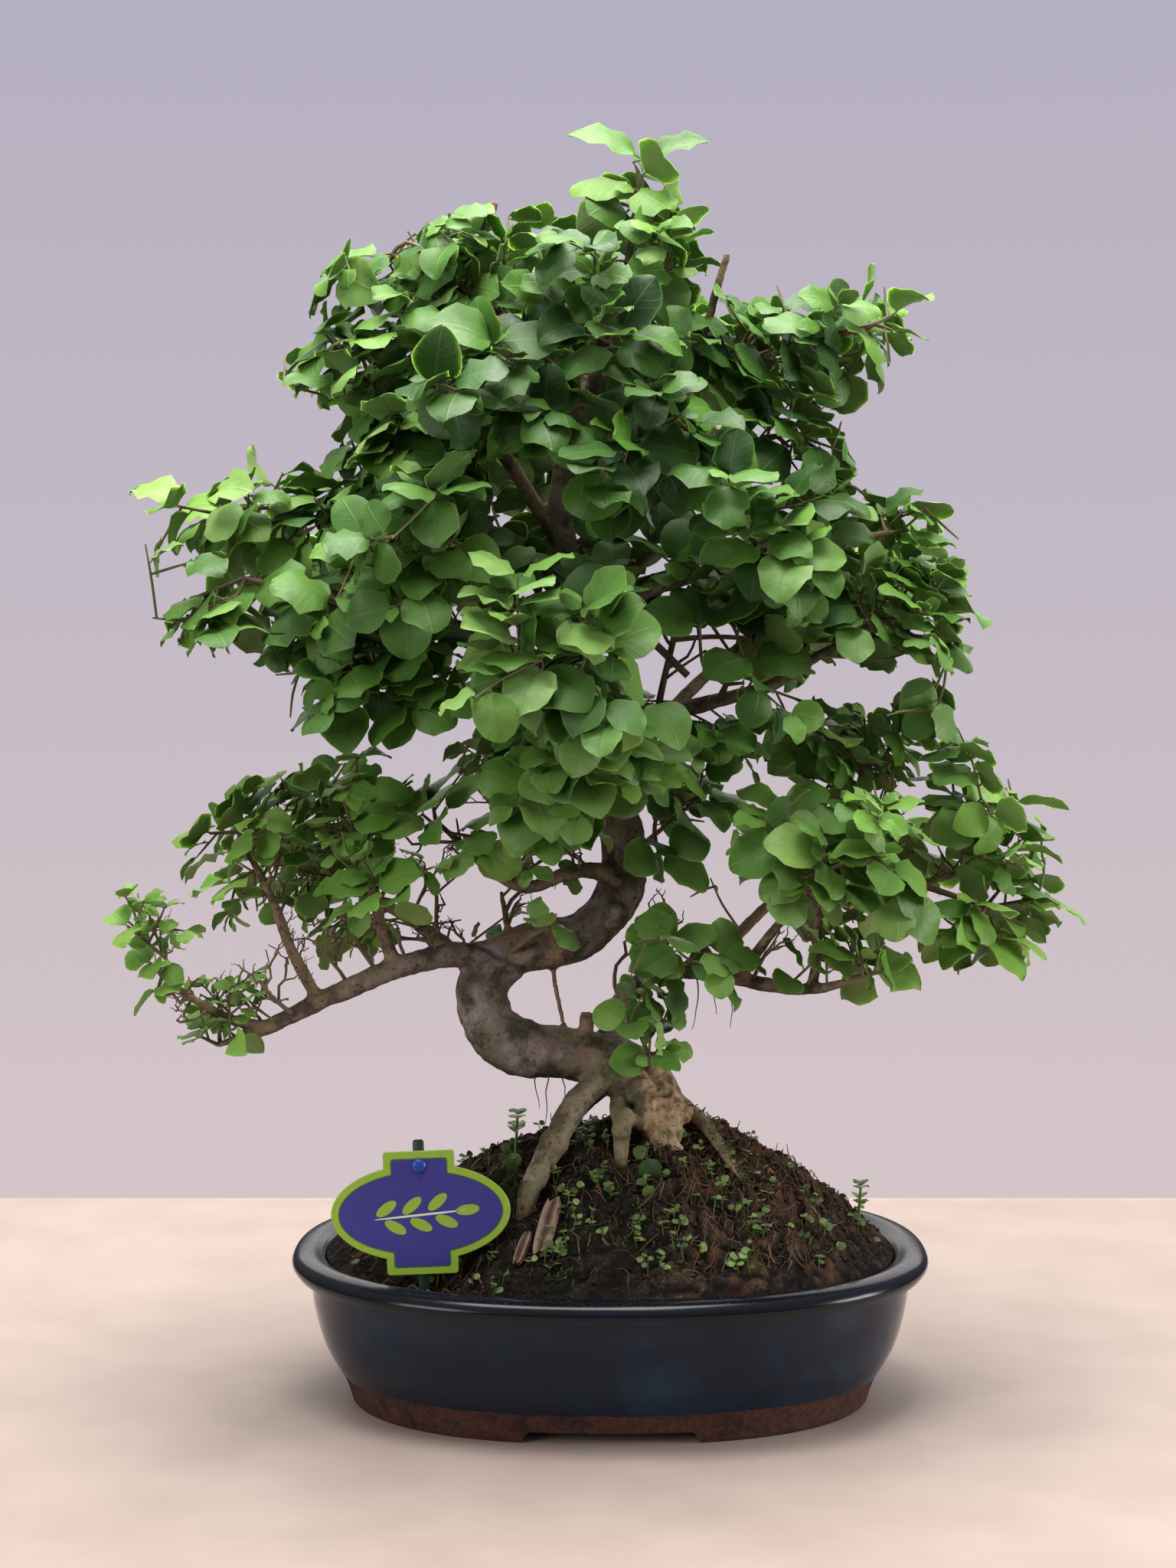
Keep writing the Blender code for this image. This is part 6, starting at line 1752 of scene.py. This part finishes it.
def make_soil():
    """The mound, which fills the pot down to its floor, with loose crumbs on it."""
    wall = [(width - GAP, height) for width, height in POT_INSIDE[::-1]]
    wall[0] = (wall[0][0], POT_FLOOR + 2 * GAP + SCREEN_THICK)
    rings = [fine_oval(width, height, SOIL_SIDES) for width, height in wall]
    rings.append(fine_oval(wall[-1][0] - 0.1, SOIL_EDGE - 1, SOIL_SIDES))
    edge = fine_oval(wall[-1][0] + 1, SOIL_EDGE + 0.8, SOIL_SIDES)
    rings.append(edge)
    moss, painted_hollow_shades = [0.0] * SOIL_SIDES * len(rings), [0.5] * SOIL_SIDES * len(rings)
    for number in range(1, SOIL_FINE_RINGS):
        share = 1 - number / SOIL_FINE_RINGS
        calm = min(1.0, 12 * (1 - share))  # near the edge the soil is level
        ring = []
        for point in edge:
            x, y = SOIL_MIDDLE + share * (point.x - SOIL_MIDDLE), share * point.y
            z = soil_height(x, y) * (1 - calm) + soil_top(x, y) * calm
            moss.append(moss_share(x, y))
            # painted shade: darker the deeper a hollow between clods lies
            painted_hollow_shades.append(max(0.0, HOLLOW_SHADE_START - clods(x, y) / HOLLOW_SHADE_SPAN))
            ring.append((x, y, z))
        rings.append(ring)
    heap = Heap(*skin(rings), moss=np.array(moss), pit=np.array(painted_hollow_shades))
    add_crumbs(heap)
    belongs(heap.build("soil_fine", (soil_finish(),), crease=80), "soil", "soil")


def add_crumbs(heap):
    draw = random.Random("crumbs")
    for _ in range(CRUMBS):
        x, y = soil_place(draw)
        radius = draw.uniform(0.5, 2.3) * draw.uniform(0.5, 1)
        place = on_mound(x, y, radius * 0.3)
        points, faces = ball(place, radius, 5, 4, draw.uniform(0.6, 1))
        points = [place + (point - place) * draw.uniform(0.7, 1.25) for point in points]
        heap.add(points, faces, moss=moss_share(x, y) * 0.7)


def shred_stops(draw, number):
    """A bent fibre that lies on the soil and arches a little in the middle."""
    x, y = soil_place(draw)
    if number % 3 == 0:
        x, y = draw.gauss(60, 26), draw.gauss(-36, 30)
    turn, length = draw.uniform(0, 2 * math.pi), draw.uniform(3, 13)
    radius = draw.uniform(0.14, 0.34) if number % 8 else draw.uniform(0.4, 0.8)
    bend, lift = draw.uniform(-2.2, 2.2), draw.uniform(0, 2.6)
    stops = []
    for step in range(4):
        angle = turn + bend * step / 3
        x += math.cos(angle) * length / 3
        y += math.sin(angle) * length / 3
        middle = step in (1, 2)
        z = soil_top(x, y) + 0.3 + (lift if middle else 0) * draw.uniform(0.4, 1)
        stops.append(Vector((x, y, z, radius * (1 if middle else 0.6))))
    return stops


def make_shreds():
    """Rusty fibres, bits of bark and dead stalks, most of them right of the roots."""
    draw = random.Random("shreds")
    heap = Heap()
    for number in range(SHREDS):
        stops = shred_stops(draw, number)
        if all(on_soil(stop.x, stop.y) for stop in stops):
            heap.add(*tube(stops, 3), tone=draw.random())
    for _ in range(STALKS):
        foot = on_mound(*soil_place(draw, most=0.9), -1)
        lean = Vector((draw.uniform(-0.5, 0.5), draw.uniform(-0.5, 0.5), 1)) * draw.uniform(4, 11)
        bend = foot + 0.6 * lean + jitter(draw, 0.6)
        heap.add(*tube([at(foot, 0.4), at(bend, 0.32), at(foot + lean, 0.2)], 4), tone=draw.random())
    rust = plant_finish("bark_shreds", (48, 33, 26), (134, 102, 78), 0.9)
    belongs(heap.build("bark_shreds", (rust,)), "bark_chip")


def make_moss():
    """Tufts of moss: short pointed strands where the soil is mossy."""
    draw = random.Random("moss")
    heap = Heap()
    strands = 0
    while strands < MOSS_STRANDS:
        x, y = soil_place(draw)
        if draw.random() > moss_share(x, y):
            continue
        strands += 1
        add_strand(heap, draw, on_mound(x, y, -0.3), UP)
    root = smooth_path(SURFACE_ROOT, 2)
    for _ in range(ROOT_MOSS):
        stop = draw.choice(root)
        way = unit(Vector((draw.uniform(-0.2, 1), draw.uniform(-1, 0.4), draw.uniform(0, 1))))
        add_strand(heap, draw, stop.xyz + jitter(draw, 2) + way * stop.w * 0.7, way)
    green = plant_finish("moss_green", (40, 50, 20), (92, 106, 48), 0.85)
    belongs(heap.build("moss", (green,)), "seedling")


def add_strand(heap, draw, foot, way):
    top = foot + (way + jitter(draw, 0.7)) * draw.uniform(0.9, 2.1)
    stops = [at(foot, 0.45), at(foot.lerp(top, 0.6), 0.38), at(top, 0.08)]
    heap.add(*tube(stops, 3), tone=draw.random())


def round_leaf(heap, form, draw, place, along, facing, length):
    """A leaf of a weed or a seedling."""
    stance = (place, along, unit(facing - along * facing.dot(along)), length, length * 0.86)
    values = {"tone": draw.random(), "along": form.along, "across": form.across}
    heap.add(form.points(stance, draw), form.faces, **values)


def add_weed(heap, form, draw, foot):
    height = draw.uniform(2, 9)
    top = foot + Vector((draw.uniform(-2, 2), draw.uniform(-2.5, 1.5), height))
    heap.add(*tube([at(foot, 0.35), at(top, 0.25)], 4), tone=0.5)
    for number in range(draw.choice((2, 3, 4))):
        turn = draw.uniform(0, 2 * math.pi)
        along = unit(Vector((math.cos(turn), math.sin(turn), 0.25)))
        facing = UP + Vector((draw.uniform(-0.6, 0.6), draw.uniform(-1.6, 0.2), 0))
        joint = top if number < 2 else foot.lerp(top, 0.6)
        round_leaf(heap, form, draw, joint, along, facing, draw.uniform(1.8, 4.6))


def make_weeds():
    """Creeping weeds with small round leaves."""
    draw = random.Random("weeds")
    heap = Heap()
    form = LeafForm(4, 4)
    for middle_x, middle_y, spread, count in WEED_PATCHES:
        for _ in range(round(count * WEED_SHARE)):
            x, y = draw.gauss(middle_x, spread), draw.gauss(middle_y, spread * 0.7)
            if on_soil(x, y):
                add_weed(heap, form, draw, on_mound(x, y, -0.5))
    for x, y, height, length in LARGE_WEEDS:
        foot = on_mound(x, y, -0.5)
        top = foot + Vector((0, -1, height))
        heap.add(*tube([at(foot, 0.5), at(top, 0.35)], 5), tone=0.3)
        facing = Vector((draw.uniform(-0.3, 0.3), -1, 0.5))
        round_leaf(heap, form, draw, top, unit(Vector((0.3, -0.2, -1))), facing, length)
        round_leaf(heap, form, draw, top, unit(Vector((-0.8, -0.2, 0.6))), facing, length * 0.6)
    green = plant_finish("weed_green", (44, 72, 30), (128, 152, 76), 0.5)
    belongs(heap.build("weeds", (green,)), "seedling")


def seedling_stops(place, height):
    """From down in the soil up past two nodes of leaves."""
    low, node = soil_height(*place), 0.55 * height
    x, y = place
    ups = ((-9, 0.8), (node, 0.7), (node + 1, 0.7), (height - 1, 0.6), (height, 0.6))
    return [Vector((x + 0.06 * up, y - 0.04 * up, low + up, radius)) for up, radius in ups]


def make_seedlings():
    green = plant_finish("seedling_green", (62, 96, 30), (132, 168, 60), 0.4)
    form = LeafForm(8, 6)
    for name, (place, height, length) in SEEDLINGS.items():
        draw = random.Random(name)
        heap = Heap()
        stops = seedling_stops(place, height)
        heap.add(*tube(smooth_path(stops, 3), 8), tone=0.4)
        growth = Growth(stops)
        stretches = growth.pull_tube(growth.end, stops[1:])
        for sides in (stretches[1], stretches[3]):
            for face in (sides[0], sides[2]):
                base, way = growth.middle_of(face), growth.normal_of(face)
                round_leaf(heap, form, draw, base, unit(way + 0.3 * UP), UP, length)
        belongs(heap.build(name + "_fine", (green,)), "seedling", name)


def make_chips():
    bark = chip_finish()
    for name, (low, high, width, thick) in CHIPS.items():
        draw = random.Random(name)
        ends = [Vector((*place, soil_height(*place) + 0.2 * thick)) for place in (low, high)]
        heading = unit(ends[1] - ends[0])
        side = unit(heading.cross(UP))
        lift = side.cross(heading)
        ridges = [draw.uniform(-1, 1) for _ in range(CHIP_SIDES)]
        tips = [(draw.uniform(-0.12, 0.02), draw.uniform(-0.02, 0.14)) for _ in range(CHIP_SIDES)]
        rings, grain = [], []
        for step in range(CHIP_STEPS + 1):
            share = step / CHIP_STEPS
            ring = []
            for angle, ridge, tip in zip(angles(CHIP_SIDES), ridges, tips):
                along = share + tip[0] * (1 - share) ** 3 + tip[1] * share ** 3
                wear = 1 - 0.35 * (2 * share - 1) ** 4 + 0.12 * ridge
                x, z = oval_point(1, 1, angle, 0.5)
                across, up = x * width / 2 * wear, z * thick / 2 * (wear + 0.2 * ridge)
                ring.append(ends[0].lerp(ends[1], along) + side * across + lift * up)
                grain.append(0.5 + 0.35 * ridge)
            rings.append(ring)
        heap = Heap(*skin(rings), grain=np.array(grain))
        belongs(heap.build(name + "_fine", (bark,), crease=45, turn=True), "bark_chip", name)


def label_frame():
    """From the label's own plane, with its face at -Y, to where it stands."""
    lean = Matrix.Rotation(math.radians(-LABEL_LEAN), 4, "X")
    roll = Matrix.Rotation(math.radians(-LABEL_ROLL), 4, "Y")
    return Matrix.Translation(Vector(LABEL_AT)) @ lean @ roll


def label_outline(inset=0.0):
    """The plate's edge: a lying oval with a stepped tab above and below, from the right end."""
    wide, high = LABEL_HALF_WIDTH - inset, LABEL_HALF_HEIGHT - inset
    tab, top = LABEL_TAB_HALF_WIDTH - inset, LABEL_TAB_TOP - inset
    corner = math.acos(tab / wide)
    quarter = []
    for k in range(LABEL_ARC + 1):
        angle = corner * k / LABEL_ARC
        quarter.append((wide * math.cos(angle), high * math.sin(angle)))
    for k in range(5):
        turn = math.pi / 2 * k / 4
        x, z = LABEL_TAB_ROUND * math.cos(turn), LABEL_TAB_ROUND * math.sin(turn)
        quarter.append((tab - LABEL_TAB_ROUND + x, top - LABEL_TAB_ROUND + z))
    upper = quarter + [(-x, z) for x, z in quarter[::-1]]
    return upper + [(x, -z) for x, z in upper[::-1]][1:-1]


def oval_outline(half_width, half_height, middle, turn, sides):
    """An oval in the label's plane, turned round its middle."""
    cos, sin = math.cos(turn), math.sin(turn)
    outline = []
    for angle in angles(sides):
        x, z = half_width * math.cos(angle), half_height * math.sin(angle)
        outline.append((middle[0] + x * cos - z * sin, middle[1] + x * sin + z * cos))
    return outline


def flat_piece(heap, layers, slot=0):
    """A flat solid in the label's plane, from (outline, how far back) layers."""
    place = label_frame()
    rings = [[place @ Vector((x, back, z)) for x, z in outline] for outline, back in layers]
    heap.add(*skin(rings), slot=slot)


def inlay(heap, outline, level, slot):
    """A thin printed area on the label's face."""
    near = -LABEL_THICK / 2
    flat_piece(heap, ((outline, near - PRINT_THICK * level), (outline, near + 0.1)), slot)


def make_plate():
    """The label's plate with its print: a sprig on a violet field in a lime border."""
    finishes = [plastic_finish(*look) for look in PRINT_LOOKS]
    near = -LABEL_THICK / 2
    plate = Heap()
    full, inner = label_outline(), label_outline(0.3)
    flat_piece(plate, ((inner, near), (full, near + 0.3), (full, -near - 0.3), (inner, -near)))
    inlay(plate, label_outline(3.4), 1, 1)
    inlay(plate, label_outline(4), 2, 2)
    for number, (x, z, long, wide, turn) in enumerate(SPRIG):
        shape = oval_outline(long, wide, (x, z), math.radians(turn), 20)
        inlay(plate, shape, 3, 0 if number else 3)
    piece = plate.build("label_plate_fine", finishes, crease=35, turn=True)
    belongs(piece, "label_face", "label_plate")


def make_stake():
    """The flat stake behind the plate, with bevelled edges and a pointed foot."""
    place = label_frame()
    back, corner = LABEL_THICK / 2 + GAP, 0.4
    far = back + STAKE_THICK
    layers = []
    for z, share in ((STAKE_BOTTOM, 0.3), (STAKE_BOTTOM + 12, 1), (STAKE_TOP - 1, 1), (STAKE_TOP, 0.7)):
        half = STAKE_WIDTH / 2 * share
        inner = half - corner
        section = ((-half, back + corner), (-inner, back), (inner, back), (half, back + corner),
                   (half, far - corner), (inner, far), (-inner, far), (-half, far - corner))
        layers.append([place @ Vector((x, y, z)) for x, y in section])
    stake = Heap(*skin(layers))
    green = plastic_finish("stake_dark_green", (16, 44, 34), 0.45)
    belongs(stake.build("label_stake_fine", (green,), crease=50, turn=True), "label_stake", "label_stake")


def make_peg():
    """The round peg that holds the plate on its stake."""
    seat = -LABEL_THICK / 2 - GAP
    steps = ((seat - 1.9, 0.9), (seat - 1.8, 1.7), (seat - 1.4, 2.7), (seat - 0.9, 3.2),
             (seat - 0.5, PEG_HEAD_RADIUS), (seat, PEG_HEAD_RADIUS), (seat, PEG_RADIUS),
             (LABEL_THICK / 2 + GAP + STAKE_THICK, PEG_RADIUS))
    peg = Heap()
    flat_piece(peg, [(oval_outline(radius, radius, (0, PEG_HEIGHT), 0, 36), y) for y, radius in steps])
    blue = plastic_finish("peg_blue", (30, 66, 158), 0.3)
    belongs(peg.build("label_peg_fine", (blue,), crease=50, turn=True), "label_peg", "label_peg")


def make_screens():
    black = plastic_finish("screen_black", (28, 28, 30), 0.6)
    for side in ("left", "right"):
        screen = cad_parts["drain_screen_" + side]
        screen.data.materials.clear()
        screen.data.materials.append(black)


def add_light(name, place, toward, size, power, color):
    lamp = bpy.data.lights.new(name, "AREA")
    lamp.shape, lamp.size, lamp.size_y = "RECTANGLE", *size
    lamp.energy, lamp.color = power, color
    obj = placed(name, lamp)
    obj.location = place
    obj.rotation_euler = (Vector(toward) - Vector(place)).to_track_quat("-Z", "Y").to_euler()


def make_room():
    """A pale lilac-grey wall all round, which casts less light than it shows."""
    world = bpy.data.worlds.new("room")
    world.use_nodes = True
    nodes, links = world.node_tree.nodes, world.node_tree.links
    way = nodes.new("ShaderNodeSeparateXYZ")
    links.new(nodes.new("ShaderNodeTexCoord").outputs["Generated"], way.inputs[0])
    ramps = []
    for span, stops in ((WALL_SPAN, WALL_COLORS), ((0, 1), ROOM_LIGHT)):
        share = nodes.new("ShaderNodeMapRange")
        links.new(way.outputs[2], share.inputs[0])
        share.inputs["From Min"].default_value, share.inputs["From Max"].default_value = span
        blend = nodes.new("ShaderNodeValToRGB")
        links.new(share.outputs[0], blend.inputs[0])
        set_stops(blend.color_ramp, stops)
        ramps.append(blend.outputs[0])
    both = nodes.new("ShaderNodeMix")
    both.data_type = "RGBA"
    links.new(nodes.new("ShaderNodeLightPath").outputs["Is Camera Ray"], both.inputs[0])
    links.new(ramps[1], both.inputs[6])
    links.new(ramps[0], both.inputs[7])
    links.new(both.outputs[2], nodes["Background"].inputs["Color"])
    bpy.context.scene.world = world


def make_stage():
    """A plain pale table top, soft light and a soft lilac-grey surround."""
    table = Finish("table_top", 0.6, 0.3)
    clouds = table.noise(60, 3)
    table.set("Base Color", table.ramp(clouds, (0.3, (170, 154, 145)), (0.7, (180, 164, 155))))
    half_width, half_depth = TABLE_HALF
    rings = []
    for grow, z in ((-4, -30), (0, -26), (0, -3), (-3, 0)):
        rings.append([(*oval_point(half_width + grow, half_depth + grow, angle, TABLE_CORNERS), z)
                      for angle in angles(TABLE_SIDES)])
    floor = Heap(*skin(rings)).build("table_top", (table.material,), crease=40)
    make_room()
    for light in LIGHTS:
        add_light(*light)


def make_camera():
    camera = placed("camera", bpy.data.cameras.new("camera"))
    camera.data.sensor_width = SENSOR
    camera.data.lens = CAMERA_FOCUS * SENSOR / PHOTO_HEIGHT
    camera.location = Vector(CAMERA_AT) * MM
    camera.rotation_euler.x = math.radians(90 - CAMERA_DOWN)
    bpy.context.scene.camera = camera


def main():
    make_camera()
    make_stage()
    paths = wood_paths(TRUNK_STEP, LIMB_STEP)
    crowd = Crowd()
    for name, path in paths.items():
        kind = wood_kind(name)
        fewer = kind == "limb" and path[0].w <= THIN_LIMB
        crowd.add(tube(path, PLAIN_SIDES[kind] - fewer, knots=WOOD_KNOTS[kind]))
    make_sprays(paths, crowd)
    make_wood()
    make_hair_roots()
    make_pot()
    make_screens()
    make_soil()
    make_shreds()
    make_moss()
    make_weeds()
    make_seedlings()
    make_chips()
    make_plate()
    make_stake()
    make_peg()
    bpy.context.scene.view_settings.view_transform = "Standard"
    bpy.context.scene.view_settings.look = "None"


main()
